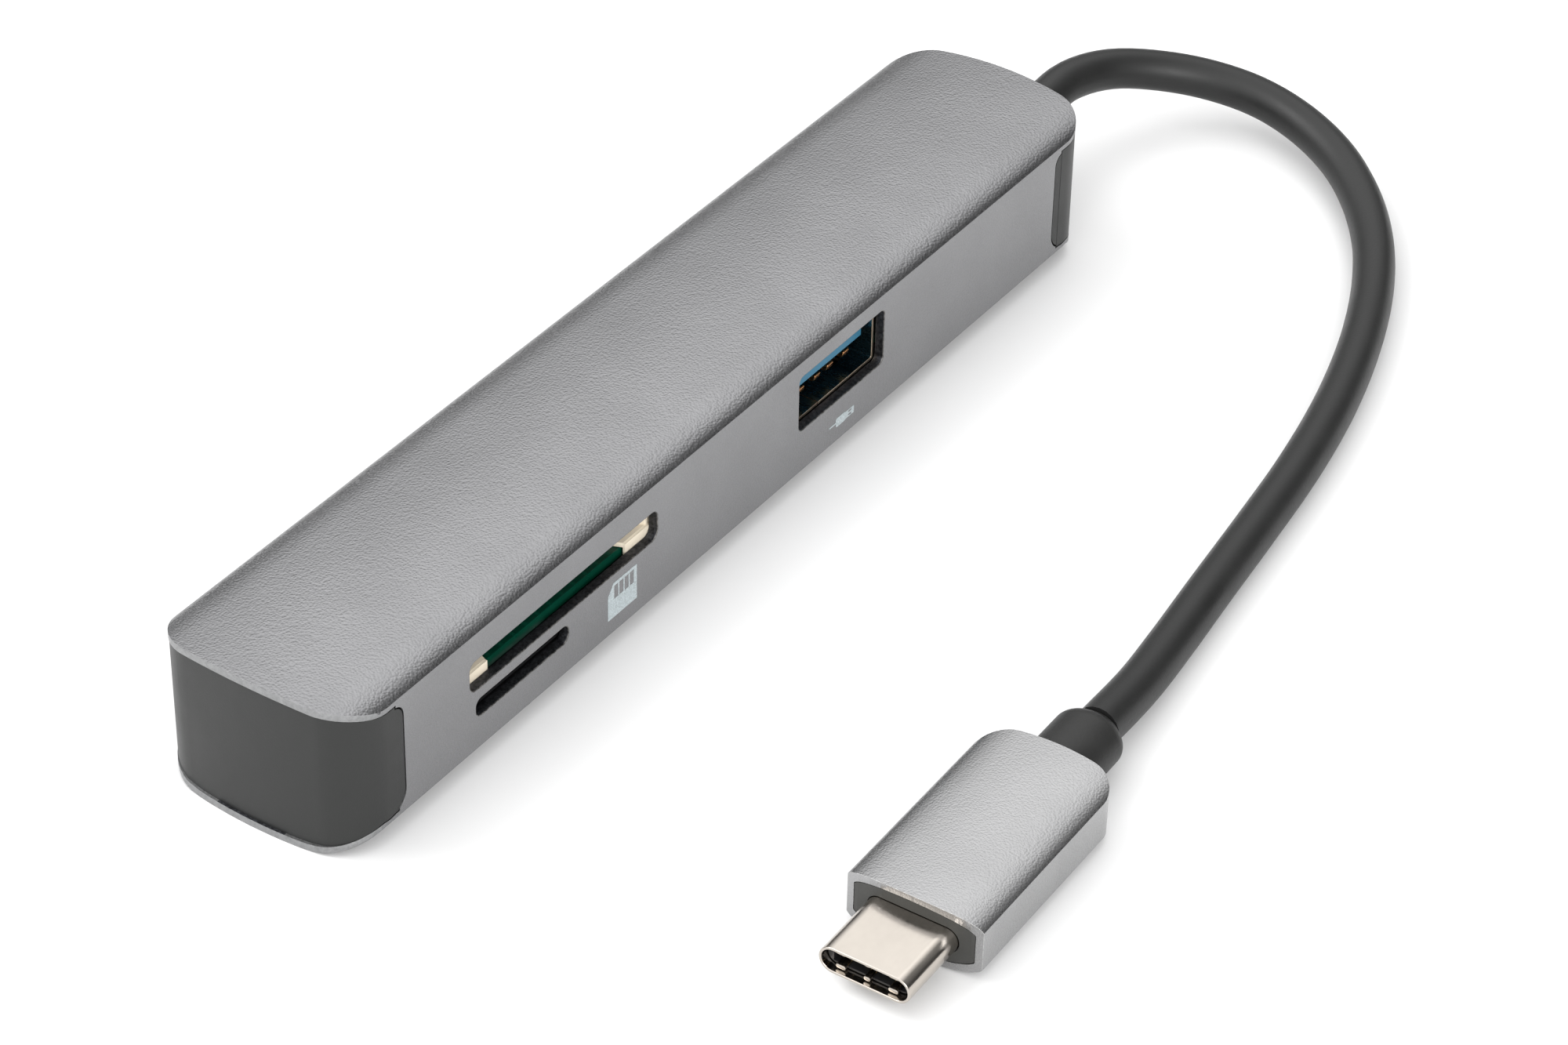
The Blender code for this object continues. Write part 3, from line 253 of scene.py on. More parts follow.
class Look:
    """A Principled material whose sockets are fed by procedural nodes in millimetre coordinates."""

    def __init__(self, name, colour, roughness, metallic=0.0, specular=0.5):
        self.material = bpy.data.materials.new(name)
        self.material.use_nodes = True
        self.tree = self.material.node_tree
        self.shader = self.tree.nodes["Principled BSDF"]
        self.shader.inputs["Base Color"].default_value = (*colour, 1)
        self.shader.inputs["Roughness"].default_value = roughness
        self.shader.inputs["Metallic"].default_value = metallic
        self.shader.inputs["Specular IOR Level"].default_value = specular
        self.colour = colour
        place = self.node("ShaderNodeTexCoord")
        scale = self.node("ShaderNodeMapping")
        scale.inputs["Scale"].default_value = (1 / MM,) * 3
        self.link(place.outputs["Object"], scale.inputs["Vector"])
        self.place = scale.outputs["Vector"]
        self.bump_end = None

    def node(self, kind, **settings):
        made = self.tree.nodes.new(kind)
        for key, value in settings.items():
            setattr(made, key, value)
        return made

    def link(self, output, socket):
        self.tree.links.new(output, socket)

    def stretched(self, scales):
        """The millimetre coordinates stretched along each axis, for brushed or drawn surfaces."""
        mapping = self.node("ShaderNodeMapping")
        mapping.inputs["Scale"].default_value = scales
        self.link(self.place, mapping.inputs["Vector"])
        return mapping.outputs["Vector"]

    def noise(self, per_mm, detail=2.0, roughness=0.5, place=None):
        made = self.node("ShaderNodeTexNoise")
        made.inputs["Scale"].default_value = per_mm
        made.inputs["Detail"].default_value = detail
        made.inputs["Roughness"].default_value = roughness
        self.link(place or self.place, made.inputs["Vector"])
        return made.outputs["Fac"]

    def pebbles(self, per_mm):
        """Round bumps packed side by side, high in their middles."""
        made = self.node("ShaderNodeTexVoronoi", feature="SMOOTH_F1")
        made.inputs["Scale"].default_value = per_mm
        made.inputs["Smoothness"].default_value = 0.6
        self.link(self.place, made.inputs["Vector"])
        return self.maths("SUBTRACT", 1.0, made.outputs["Distance"])

    def spread(self, value, low, high, start=0.3, end=0.7):
        """A 0 to 1 pattern mapped from start..end to low..high, clamped."""
        made = self.node("ShaderNodeMapRange")
        made.inputs["From Min"].default_value = start
        made.inputs["From Max"].default_value = end
        made.inputs["To Min"].default_value = low
        made.inputs["To Max"].default_value = high
        self.link(value, made.inputs["Value"])
        return made.outputs["Result"]

    def maths(self, operation, *values):
        made = self.node("ShaderNodeMath", operation=operation)
        for socket, value in zip(made.inputs, values):
            if isinstance(value, (int, float)):
                socket.default_value = value
            else:
                self.link(value, socket)
        return made.outputs["Value"]

    def mix(self, factor, first, second):
        """A colour between two; each is a tuple or another node's colour."""
        made = self.node("ShaderNodeMix", data_type="RGBA")
        self.link(factor, made.inputs["Factor"])
        for key, value in (("A", first), ("B", second)):
            socket = next(s for s in made.inputs if s.name == key and s.type == "RGBA")
            if isinstance(value, tuple):
                socket.default_value = (*value, 1)
            else:
                self.link(value, socket)
        return next(s for s in made.outputs if s.type == "RGBA")

    def tint(self, pattern, low, high):
        """Colour varies between the base colour times low and times high."""
        pair = [tuple(min(1, c * share) for c in self.colour) for share in (low, high)]
        self.paint(self.mix(pattern, *pair))

    def paint(self, colour):
        self.link(colour, self.shader.inputs["Base Color"])

    def rough(self, pattern, low, high, start=0.3, end=0.7):
        self.link(self.spread(pattern, low, high, start, end), self.shader.inputs["Roughness"])

    def bump(self, height, depth_mm, strength=1.0):
        made = self.node("ShaderNodeBump")
        made.inputs["Distance"].default_value = depth_mm * MM
        if isinstance(strength, (int, float)):
            made.inputs["Strength"].default_value = strength
        else:
            self.link(strength, made.inputs["Strength"])
        self.link(height, made.inputs["Height"])
        if self.bump_end:
            self.link(self.bump_end, made.inputs["Normal"])
        self.bump_end = made.outputs["Normal"]
        self.link(self.bump_end, self.shader.inputs["Normal"])


def blasted(name, colour, roughness, grain, depth, side_share):
    """Bead-blasted, anodised aluminium. The flat side walls are finer than the crowned faces."""
    look = Look(name, colour, roughness, 1.0)
    facing = look.node("ShaderNodeSeparateXYZ")
    look.link(look.node("ShaderNodeNewGeometry").outputs["True Normal"], facing.inputs["Vector"])
    upright = look.maths("ABSOLUTE", facing.outputs["Z"])
    strength = look.spread(upright, side_share, 1.0, 0.1, 0.5)
    broad = look.noise(0.12, 3)
    fine = look.noise(grain * 3.1, 2, 0.6)
    look.tint(look.spread(broad, 0.0, 1.0), 0.95, 1.05)
    look.rough(fine, roughness - 0.06, roughness + 0.08)
    look.bump(look.pebbles(grain), depth, strength)
    look.bump(fine, depth * 0.25, 0.6)
    return look.material


def machined(name, colour, roughness, low=0.72, high=1.15):
    """Cut aluminium with tool marks; its tone breaks up between low and high times the colour."""
    look = Look(name, colour, roughness, 1.0)
    grit = look.noise(7.0, 3, 0.7)
    burr = look.noise(2.6, 3, 0.65)
    broken = look.maths("MULTIPLY_ADD", burr, 0.6, look.maths("MULTIPLY", grit, 0.4))
    look.tint(look.spread(broken, 0, 1, 0.4, 0.6), low, high)
    look.rough(grit, roughness - 0.1, roughness + 0.15)
    look.bump(grit, 0.03, 0.8)
    return look.material


def moulded(name, colour, roughness, grain=9.0, depth=0.006, specular=0.5, wear=0.1):
    """Moulded plastic or rubber with a fine spark-eroded grain and slight unevenness."""
    look = Look(name, colour, roughness, 0.0, specular)
    grit = look.noise(grain, 3, 0.6)
    cloud = look.noise(0.25, 4, 0.55)
    look.tint(look.spread(cloud, 0, 1), 1 - wear, 1 + wear)
    uneven = look.maths("MULTIPLY_ADD", cloud, 0.6, look.maths("MULTIPLY", grit, 0.4))
    look.rough(uneven, roughness - 0.05, roughness + 0.07)
    look.bump(grit, depth)
    look.bump(look.noise(0.9, 2), depth * 0.8, 0.5)
    return look.material


def plated(name, colour, roughness, brushed=(1.0, 1.0, 1.0), wear=0.06):
    """Stamped or plated metal with drawing lines and faint smudges."""
    look = Look(name, colour, roughness, 1.0)
    lines = look.noise(3.0, 4, 0.6, look.stretched(brushed))
    smudge = look.noise(0.35, 3, 0.6)
    look.tint(look.spread(smudge, 0, 1), 1 - wear, 1 + wear * 0.4)
    uneven = look.maths("MULTIPLY_ADD", smudge, 0.5, look.maths("MULTIPLY", lines, 0.5))
    look.rough(uneven, roughness - 0.05, roughness + 0.09)
    look.bump(lines, 0.003, 0.7)
    return look.material


def printed(name, colour):
    """Screen-printed ink, speckled where the blasted metal shows through."""
    look = Look(name, colour, 0.6, 0.0, 0.3)
    spots = look.noise(9.0, 3, 0.6)
    look.tint(look.spread(spots, 0, 1, 0.35, 0.6), 0.7, 1.1)
    look.rough(spots, 0.5, 0.7)
    look.bump(spots, 0.008)
    return look.material


def circuit_board(name):
    """Green solder mask over copper tracks."""
    look = Look(name, BOARD_GREEN, 0.32, 0.0, 0.3)
    tracks = look.node("ShaderNodeTexBrick", offset=0.5, squash=0.7)
    tracks.inputs["Scale"].default_value = 0.55
    tracks.inputs["Mortar Size"].default_value = 0.1
    tracks.inputs["Brick Width"].default_value = 1.3
    tracks.inputs["Row Height"].default_value = 0.5
    look.link(look.place, tracks.inputs["Vector"])
    track = look.spread(tracks.outputs["Fac"], 0, 1)
    mask = look.mix(track, BOARD_GREEN, tuple(c * 1.6 for c in BOARD_GREEN))
    shade = tuple(c * 0.6 for c in BOARD_GREEN)
    look.paint(look.mix(look.spread(look.noise(0.4, 3), 0, 0.35), mask, shade))
    look.bump(track, 0.03, 0.5)
    look.rough(look.noise(1.2, 3), 0.26, 0.42)
    return look.material


BOARD_GREEN = (0.0012, 0.034, 0.0195)
LOOKS = {
    "sleeve": blasted("blasted_grey_aluminium", (0.256, 0.256, 0.262), 0.3, 4.6, 0.032, 0.3),
    "edge": machined("burred_grey_edge", (0.42, 0.42, 0.42), 0.3, 0.3, 1.9),
    "band": machined("milled_grey_end", (0.3, 0.302, 0.305), 0.42, 0.85, 1.1),
    "rim": machined("dark_window_rim", (0.13, 0.127, 0.125), 0.4, 0.45, 1.9),
    # The cut faces in the windows and the hollow are darkened as painted shade, partly also a
    # darker cut finish.
    "inside": machined("painted_shade_cut_wall", (0.052, 0.054, 0.06), 0.5, 0.5, 1.8),
    "cap": moulded("dark_grey_cap", (0.0125, 0.013, 0.0125), 0.42, 8.0, 0.008, 0.4, 0.06),
    "rubber": moulded("black_cable_rubber", (0.011, 0.0112, 0.011), 0.42, 5.0, 0.012, 0.35, 0.12),
    "boot": moulded("black_boot_rubber", (0.013, 0.013, 0.0126), 0.46, 4.0, 0.018, 0.35, 0.12),
    "plug": blasted("blasted_silver_aluminium", (0.355, 0.355, 0.358), 0.28, 5.5, 0.02, 0.8),
    "plug_edge": machined("machined_silver_edge", (0.62, 0.62, 0.61), 0.28, 0.5, 1.5),
    "insert": moulded("charcoal_insert", (0.035, 0.035, 0.032), 0.5, 5.0, 0.014, 0.4, 0.15),
    "nickel": plated("warm_nickel_plate", (0.49, 0.45, 0.405), 0.17, (0.15, 1.5, 1.5)),
    "steel": plated("stamped_tin_steel", (0.55, 0.46, 0.37), 0.3, (1.5, 0.2, 1.5), 0.12),
    # The shell's inside: dark as painted shade, tinted teal as a painted reflection of the blue
    # tongue.
    "can_painted_shade": plated("painted_shade_and_reflection_shell_inside", (0.11, 0.2, 0.23), 0.25, (1.5, 0.2, 1.5), 0.12),
    # The shell's front rim: lighter and warmer than the steel, a painted highlight.
    "can_painted_highlight_rim": plated("painted_highlight_shell_rim", (0.8, 0.66, 0.5), 0.3, (1.5, 1.5, 1.5), 0.2),
    "copper": plated("copper_alloy", (0.56, 0.27, 0.12), 0.26, (1.5, 0.3, 1.5), 0.15),
    "gold": plated("gold_flash", (0.83, 0.6, 0.28), 0.22, (1.5, 0.3, 1.5)),
    "blue": moulded("blue_port_plastic", (0.018, 0.135, 0.225), 0.4, 7.0, 0.006),
    "black": moulded("black_socket_plastic", (0.012, 0.012, 0.013), 0.4, 7.0, 0.006),
    "cream": moulded("cream_socket_plastic", (0.8, 0.715, 0.575), 0.42, 6.0, 0.006, 0.5, 0.06),
    "white": moulded("natural_inner_mould", (0.66, 0.64, 0.6), 0.5),
    "chip": moulded("chip_epoxy", (0.018, 0.018, 0.02), 0.55, 10.0, 0.01),
    "wire": moulded("red_wire_sleeve", (0.33, 0.03, 0.028), 0.4),
    "print": printed("pale_print", (0.4, 0.45, 0.465)),
    "board": circuit_board("green_circuit_board"),
}


# ---- shape tools


def new_piece(name, mesh):
    obj = bpy.data.objects.new(name, mesh)
    bpy.context.scene.collection.objects.link(obj)
    return obj


def mesh_from(name, shape):
    bmesh.ops.recalc_face_normals(shape, faces=shape.faces)
    mesh = bpy.data.meshes.new(name)
    shape.to_mesh(mesh)
    shape.free()
    return mesh


PLACES = {
    "x": lambda u, v, t: (t, u, v),
    "y": lambda u, v, t: (u, t, v),
    "z": lambda u, v, t: (u, v, t),
}


def prism(name, outline, start, end, axis, slot=0):
    """A flat outline extruded from start to end along an axis. For x the outline is (y, z)."""
    shape = bmesh.new()
    place = PLACES[axis]
    rings = [[shape.verts.new(place(u, v, t)) for u, v in outline] for t in (start, end)]
    count = len(outline)
    for i in range(count):
        j = (i + 1) % count
        shape.faces.new((rings[0][i], rings[0][j], rings[1][j], rings[1][i]))
    shape.faces.new(rings[0][::-1])
    shape.faces.new(rings[1])
    for face in shape.faces:
        face.material_index = slot
    return new_piece(name, mesh_from(name, shape))


def box(name, low, high):
    outline = [(low[0], low[1]), (high[0], low[1]), (high[0], high[1]), (low[0], high[1])]
    return prism(name, outline, low[2], high[2], "z")


def oval_rod(name, radii, start, end, centre, sides=48):
    """A rod along X with an oval section."""
    outline = arc(centre, radii, 0, 360 - 360 / sides, sides - 1)
    return prism(name, outline, start, end, "x")


def combined(target, *steps):
    """Applies Booleans to the target's mesh, one after another. Each is (operation, cutter)."""
    for operation, cutter in steps:
        modifier = target.modifiers.new(operation, "BOOLEAN")
        modifier.operation = operation
        modifier.object = cutter
        modifier.solver = "EXACT"
    settle(target)
    for _, cutter in steps:
        bpy.data.objects.remove(cutter)


def settle(obj):
    """Replaces the object's mesh by what its modifiers make of it."""
    bpy.context.view_layer.update()
    graph = bpy.context.evaluated_depsgraph_get()
    mesh = bpy.data.meshes.new_from_object(obj.evaluated_get(graph))
    obj.modifiers.clear()
    obj.data = mesh
    mesh.name = obj.name


def cut(target, *cutters):
    combined(target, *[("DIFFERENCE", cutter) for cutter in cutters])


def join(target, *others):
    combined(target, *[("UNION", other) for other in others])


def keep_inside(target, other):
    combined(target, ("INTERSECT", other))


def soften(obj, width, segments=2, least=40, wanted=None, slot=-1):
    """Rounds the sharp edges of a piece; the new faces take the material in slot."""
    shape = bmesh.new()
    shape.from_mesh(obj.data)
    bmesh.ops.remove_doubles(shape, verts=shape.verts, dist=0.004 * MM)
    bmesh.ops.dissolve_degenerate(shape, edges=shape.edges, dist=0.004 * MM)
    limit = math.radians(least)
    edges = [
        e
        for e in shape.edges
        if len(e.link_faces) == 2
        and e.calc_face_angle(0) > limit
        and (wanted is None or wanted(e))
    ]
    bmesh.ops.bevel(
        shape,
        geom=edges,
        offset=width,
        offset_type="OFFSET",
        segments=segments,
        profile=0.5,
        affect="EDGES",
        clamp_overlap=True,
        material=slot,
    )
    mesh = mesh_from(obj.name, shape)
    for material in obj.data.materials:
        mesh.materials.append(material)
    obj.data = mesh


def give_looks(obj, looks):
    """One material slot for each look; the faces keep their slot numbers."""
    slots = [face.material_index for face in obj.data.polygons]
    obj.data.materials.clear()
    for look in looks:
        obj.data.materials.append(LOOKS[look])
    obj.data.polygons.foreach_set("material_index", slots)


def finish_piece(obj, looks, sharp, body="hub", replaces=()):
    """Materials, smooth shading and the piece's place in the frame."""
    give_looks(obj, looks)
    obj.data.shade_smooth()
    obj.data.set_sharp_from_angle(angle=math.radians(sharp))
    weighted = obj.modifiers.new("even_shading", "WEIGHTED_NORMAL")
    weighted.keep_sharp = True
    if replaces:
        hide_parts(*replaces)
    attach(obj, body)


# ---- outlines


def arc(centre, radii, start, end, steps):
    """Points on an ellipse from one angle to another, in degrees, both ends included."""
    angles = [math.radians(start + (end - start) * i / steps) for i in range(steps + 1)]
    return [
        (centre[0] + radii[0] * math.cos(a), centre[1] + radii[1] * math.sin(a)) for a in angles
    ]


def rounded_rectangle(size, centre=(0, 0), radius=0.0, steps=6):
    half_u = size[0] / 2 - radius
    half_v = size[1] / 2 - radius
    corners = ((1, 1, 0), (-1, 1, 90), (-1, -1, 180), (1, -1, 270))
    outline = []
    for u, v, start in corners:
        middle = (centre[0] + u * half_u, centre[1] + v * half_v)
        outline += arc(middle, (radius, radius), start, start + 90, steps)
    return outline


def blend_angle(roll, rise, start, slope):
    """The ellipse angle where a roll that begins at start is as steep as the crown's edge."""
    low, high = start + 5, 90
    for _ in range(40):
        middle = (low + high) / 2
        a, b = math.radians(start), math.radians(middle)
        wide = roll / (math.cos(a) - math.cos(b))
        tall = rise / (math.sin(b) - math.sin(a))
        if tall * math.cos(b) > slope * wide * math.sin(b):
            low = middle
        else:
            high = middle
    return low


def crowned_edge(half, crease, roll, rise, crown, start, steps):
    """Half of a crowned surface, from its crease at (half, crease) to its middle at y = 0."""
    inner = half - roll
    end = blend_angle(roll, rise, start, 2 * crown / inner)
    low, high = math.radians(start), math.radians(end)
    width = roll / (math.cos(low) - math.cos(high))
    height = rise / (math.sin(high) - math.sin(low))
    centre = (half - width * math.cos(low), crease - height * math.sin(low))
    points = arc(centre, (width, height), start, end, steps)
    if crown:
        for i in range(1, CROWN_STEPS + 1):
            share = 1 - i / CROWN_STEPS
            points.append((inner * share, crease + rise + crown * (1 - share**2)))
    return points


def mirrored(right_half):
    """A closed outline from its half at +y, which runs from the bottom to the top."""
    left_half = [(-y, z) for y, z in reversed(right_half) if y > 1e-9]
    return right_half + left_half


def housing_section(side=0.0, flat=0.0):
    """The housing's outline (y, z), set in by side at the walls and by flat above and below."""
    half, steps = HALF_WIDTH - side, 14
    belly = crowned_edge(half, -BELLY_RISE - flat, BELLY_ROLL, BELLY_RISE, 0, BELLY_CREASE, steps)
    crease = CREASE_HEIGHT - flat
    top = crowned_edge(half, crease, TOP_ROLL, TOP_RISE, TOP_CROWN, TOP_CREASE, steps)
    return mirrored([(y, -z) for y, z in reversed(belly)] + top)


def housing_plan(setback=0.0):
    """The housing's outline (x, y) from above: bowed ends with round corners."""
    inner, turns = HALF_WIDTH - PLAN_RADIUS, 12
    ys = [inner * i / 6 for i in range(6)]
    ys += [
        inner + PLAN_RADIUS * math.sin(math.radians(90 * i / turns)) for i in range(turns + 1)
    ]
    right = []
    for y in ys:
        share = max(0.0, (y - inner) / PLAN_RADIUS)
        corner = PLAN_RADIUS * (1 - math.sqrt(max(0.0, 1 - share**2)))
        x = HALF_LENGTH - END_BOW * (y / HALF_WIDTH) ** 2 - corner
        right.append((x - setback * (1 - share), y))
    upper = right + [(-x, y) for x, y in reversed(right)]
    lower = [(x, -y) for x, y in reversed(upper) if y > 0]
    return upper + lower


def plug_section(side=0.0, flat=0.0):
    """The plug sleeve's outline (y, z) about its own axis."""
    half, steps = PLUG_HALF_WIDTH - side, 12
    crease = PLUG_CREASE - flat
    top = crowned_edge(half, crease, PLUG_ROLL, PLUG_RISE, PLUG_CROWN, TOP_CREASE, steps)
    bottom = [(y, -z) for y, z in reversed(top)]
    return mirrored(bottom + top)


def plug_plan():
    """The plug sleeve's outline (x, y): a bowed mouth near x = 0, a tail with round corners."""
    half = PLUG_HALF_WIDTH
    steps = 6
    mouth = [
        (PLUG_MOUTH_SETBACK + PLUG_MOUTH_BOW * (i / steps) ** 2, half * i / steps)
        for i in range(steps + 1)
    ]
    inner = half - PLUG_TAIL_RADIUS
    tail_ys = [inner * i / 3 for i in range(3)]
    tail_ys += [inner + PLUG_TAIL_RADIUS * math.sin(math.radians(9 * i)) for i in range(11)]
    tail = []
    for y in tail_ys:
        share = max(0.0, (y - inner) / PLUG_TAIL_RADIUS)
        corner = PLUG_TAIL_RADIUS * (1 - math.sqrt(max(0.0, 1 - share**2)))
        tail.append((PLUG_LENGTH - PLUG_TAIL_BOW * (y / half) ** 2 - corner, y))
    upper = mouth + list(reversed(tail))
    lower = [(x, -y) for x, y in reversed(upper) if y > 0]
    return upper + lower


def usbc_outline(inset):
    """The plug tip's oval (y, z), set in all round."""
    size = (USBC_WIDTH - 2 * inset, USBC_HEIGHT - 2 * inset)
    return rounded_rectangle(size, (0, 0), size[1] / 2 - 0.02 * MM, 10)


def video_outline(margin):
    """The video socket's outline (x, z): straight top, lower corners cut slanting."""
    half, high = (size + margin for size in VIDEO_HALF)
    slant, rise = VIDEO_SLANT
    return [
        (half, high),
        (-half, high),
        (-half, -high + rise),
        (-half + slant, -high),
        (half - slant, -high),
        (half, -high + rise),
    ]


def notch(side, name, gap, reach, slot=0):
    """The round-cornered notch in both long walls that an end cap wraps into."""
    low = BELLY_RISE + NOTCH_SILL + gap
    high = CREASE_HEIGHT - FLAT_WALL - gap
    inner = NOTCH_REACH + gap
    outer = HALF_LENGTH + 4 * MM
    top, belly = NOTCH_TOP_RADIUS, NOTCH_BELLY_RADIUS
    outline = [(outer, low), (outer, high)]
    outline += arc((inner + top, high - top), (top, top), 90, 180, 10)
    outline += arc((inner + belly, low + belly), (belly, belly), 180, 270, 10)
    return prism(name, [(side * x, z) for x, z in outline], -reach, reach, "y", slot)


# ---- housing


def crease_edge(edge):
    """The long edges where a roll meets a side wall."""
    a, b = (v.co for v in edge.verts)
    level = abs(a.y - b.y) < 0.01 * MM and abs(a.z - b.z) < 0.01 * MM
    return level and abs(abs(a.y) - HALF_WIDTH) < 0.05 * MM


def near_window(edge):
    """The edges round the openings in the side walls."""
    middle = (edge.verts[0].co + edge.verts[1].co) / 2
    return abs(abs(middle.y) - HALF_WIDTH) < 0.02 * MM and any(
        abs(middle.x - x) < width / 2 + 0.2 * MM and abs(middle.z - z) < height / 2 + 0.2 * MM
        for x, z, width, height in OPENINGS
    )


def make_sleeve():
    """The housing's tube, with its windows, its notches and a thin lip over each cap."""
    sleeve = prism("hub_sleeve", housing_section(), -HALF_LENGTH, HALF_LENGTH, "x")
    give_looks(sleeve, SLEEVE_LOOKS)
    keep_inside(sleeve, prism("plan", housing_plan(), -MM, TALL, "z"))
    inside = housing_section(SIDE_WALL, FLAT_WALL)
    # The hollow and the window walls take the slot that is darkened as painted shade.
    cutters = [prism("cavity", inside, -HALF_LENGTH - MM, HALF_LENGTH + MM, "x", PAINTED_SHADE_SLOT)]
    for side in (-1, 1):
        cutters.append(notch(side, f"notch_{side}", 0.0, HALF_WIDTH + MM, BAND_SLOT))
        span = sorted((side * LIP_START, side * (HALF_LENGTH + 2 * MM)))
        lip = housing_section(-0.2 * MM, FLAT_WALL)
        cutters.append(prism(f"lip_{side}", lip, *span, "x", BAND_SLOT))
    through = (WALL_INSIDE - 2 * MM, HALF_WIDTH + MM)
    for i, (x, z, width, height, radius, side) in enumerate(WINDOWS):
        outline = rounded_rectangle((width, height), (x, z), radius, 8)
        span = sorted(side * y for y in through)
        cutters.append(prism(f"window_{i}", outline, *span, "y", PAINTED_SHADE_SLOT))
    video = [(VIDEO_X + x, USB_HEIGHT + z) for x, z in video_outline(VIDEO_CLEARANCE)]
    cutters.append(prism("video_window", video, *through, "y", PAINTED_SHADE_SLOT))
    cut(sleeve, *cutters)
    for face in sleeve.data.polygons:
        if abs(face.normal.x) > 0.3 and abs(face.center.x) > CAP_SHOULDER + MM:
            face.material_index = BAND_SLOT
    soften(sleeve, WINDOW_EDGE, 2, 45, near_window, RIM_SLOT)
    soften(sleeve, SLEEVE_EDGE, 2, 45, lambda e: not crease_edge(e), EDGE_SLOT)
    finish_piece(sleeve, SLEEVE_LOOKS, 28, replaces=("housing_sleeve",))


def make_cap(name, side, node):
    """An end cap that wraps into the notches; the one at the cable's end has a hole."""
    span = sorted((side * CAP_SHOULDER, side * (HALF_LENGTH + MM)))
    cap = prism(name, housing_section(0.0, FLAT_WALL - CAP_OVERLAP), *span, "x")
    join(cap, notch(side, name + "_wrap", SEAM, HALF_WIDTH - CAP_WALL_GAP))
    keep_inside(cap, prism("plan", housing_plan(CAP_SETBACK), -MM, TALL, "z"))
    if side > 0:
        cut(cap, oval_rod("hole", CABLE_HOLE, *CABLE_HOLE_SPAN, (0, CABLE_HEIGHT)))
    soften(cap, CAP_EDGE, 2, 45)
    finish_piece(cap, ("cap",), 28, replaces=(node,))


make_sleeve()
make_cap("plain_end", -1, "plain_end_cap")
make_cap("cable_end", 1, "cable_end_cap")


# ---- cable and boots


def smooth_route(route, count):
    """Evenly spaced points on a Catmull-Rom curve through the route's points."""
    knots = [Vector(point) for point in route]
    knots = [2 * knots[0] - knots[1]] + knots + [2 * knots[-1] - knots[-2]]
    dense, steps = [], 20
    for i in range(1, len(knots) - 2):
        before, start, end, after = knots[i - 1 : i + 3]
        slope = end - before
        curl = 2 * before - 5 * start + 4 * end - after
        twist = 3 * start - before - 3 * end + after
        for t in (step / steps for step in range(steps)):
            dense.append(0.5 * (2 * start + slope * t + curl * t**2 + twist * t**3))
    dense.append(knots[-2])
    lengths = [0.0]
    for a, b in zip(dense, dense[1:]):
        lengths.append(lengths[-1] + (b - a).length)
    points = []
    for i in range(count):
        wanted = lengths[-1] * i / (count - 1)
        j = max(1, next(k for k, length in enumerate(lengths) if length >= wanted - 1e-12))
        share = (wanted - lengths[j - 1]) / (lengths[j] - lengths[j - 1])
        points.append(dense[j - 1].lerp(dense[j], share))
    return points


def make_cable():
    """The cord: a round curve of one open spline along its route."""
    curve = bpy.data.curves.new("cable_cord", "CURVE")
    curve.dimensions = "3D"
    curve.bevel_depth = CABLE_DIAMETER / 2
    curve.bevel_resolution = 8
    curve.use_fill_caps = True
    spline = curve.splines.new("POLY")
    points = smooth_route(CABLE_ROUTE, CABLE_POINTS)
    spline.points.add(len(points) - 1)
    for point, place in zip(spline.points, points):
        point.co = (*place, 1)
    spline.use_smooth = True
    cable = bpy.data.objects.new("cable_cord", curve)
    curve.materials.append(LOOKS["rubber"])
    bpy.context.scene.collection.objects.link(cable)
    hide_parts("cable")
    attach(cable, "hub")
    return cable


def make_boot(name, place, node):
    """A short sleeve whose round shoulder closes on the cable, with a flange behind it."""
    cable, lip = CABLE_DIAMETER / 2, BOOT_LENGTH + BOOT_LIP
    bend = (BOOT_RADIUS - BOOT_SHOULDER, BOOT_LENGTH - BOOT_SHOULDER)
    near, far = BOOT_FLANGE
    profile = [(0.0, lip), (cable - 0.05 * MM, lip), (cable + 0.12 * MM, lip - 0.1 * MM)]
    profile += arc(bend, (BOOT_SHOULDER,) * 2, 62, 0, 9)
    profile += [(BOOT_RADIUS, BOOT_EDGE), (BOOT_RADIUS - BOOT_EDGE, 0.0)]
    profile += [(BOOT_NECK_RADIUS, 0.0), (BOOT_NECK_RADIUS, near)]
    profile += [(BOOT_FLANGE_RADIUS, near), (BOOT_FLANGE_RADIUS, far), (0.0, far)]
    shape, rings, sides = bmesh.new(), [], BOOT_SIDES
    for radius, along in profile:
        if radius == 0:
            rings.append([shape.verts.new((along, 0, 0))])
            continue
        ring = arc((0, 0), (radius, radius * BOOT_FLATTEN), 0, 360 - 360 / sides, sides - 1)
        rings.append([shape.verts.new((along, y, z)) for y, z in ring])
    for a, b in zip(rings, rings[1:]):
        for i in range(sides):
            j = (i + 1) % sides
            corners = [a[i % len(a)], a[j % len(a)], b[j % len(b)], b[i % len(b)]]
            shape.faces.new(list(dict.fromkeys(corners)))
    boot = new_piece(name, mesh_from(name, shape))
    boot.data.transform(place)
    finish_piece(boot, ("boot",), 50, replaces=(node,))
    return boot


cable = make_cable()
hub_boot_place = Matrix.Translation((BOOT_START, 0, CABLE_HEIGHT))
hub_boot = make_boot("hub_boot", hub_boot_place, "hub_strain_relief")
plug_boot_place = PLUG_FRAME @ Matrix.Translation((PLUG_LENGTH + 0.1 * MM, 0, 0))
plug_boot = make_boot("plug_boot", plug_boot_place, "plug_strain_relief")


# ---- plug


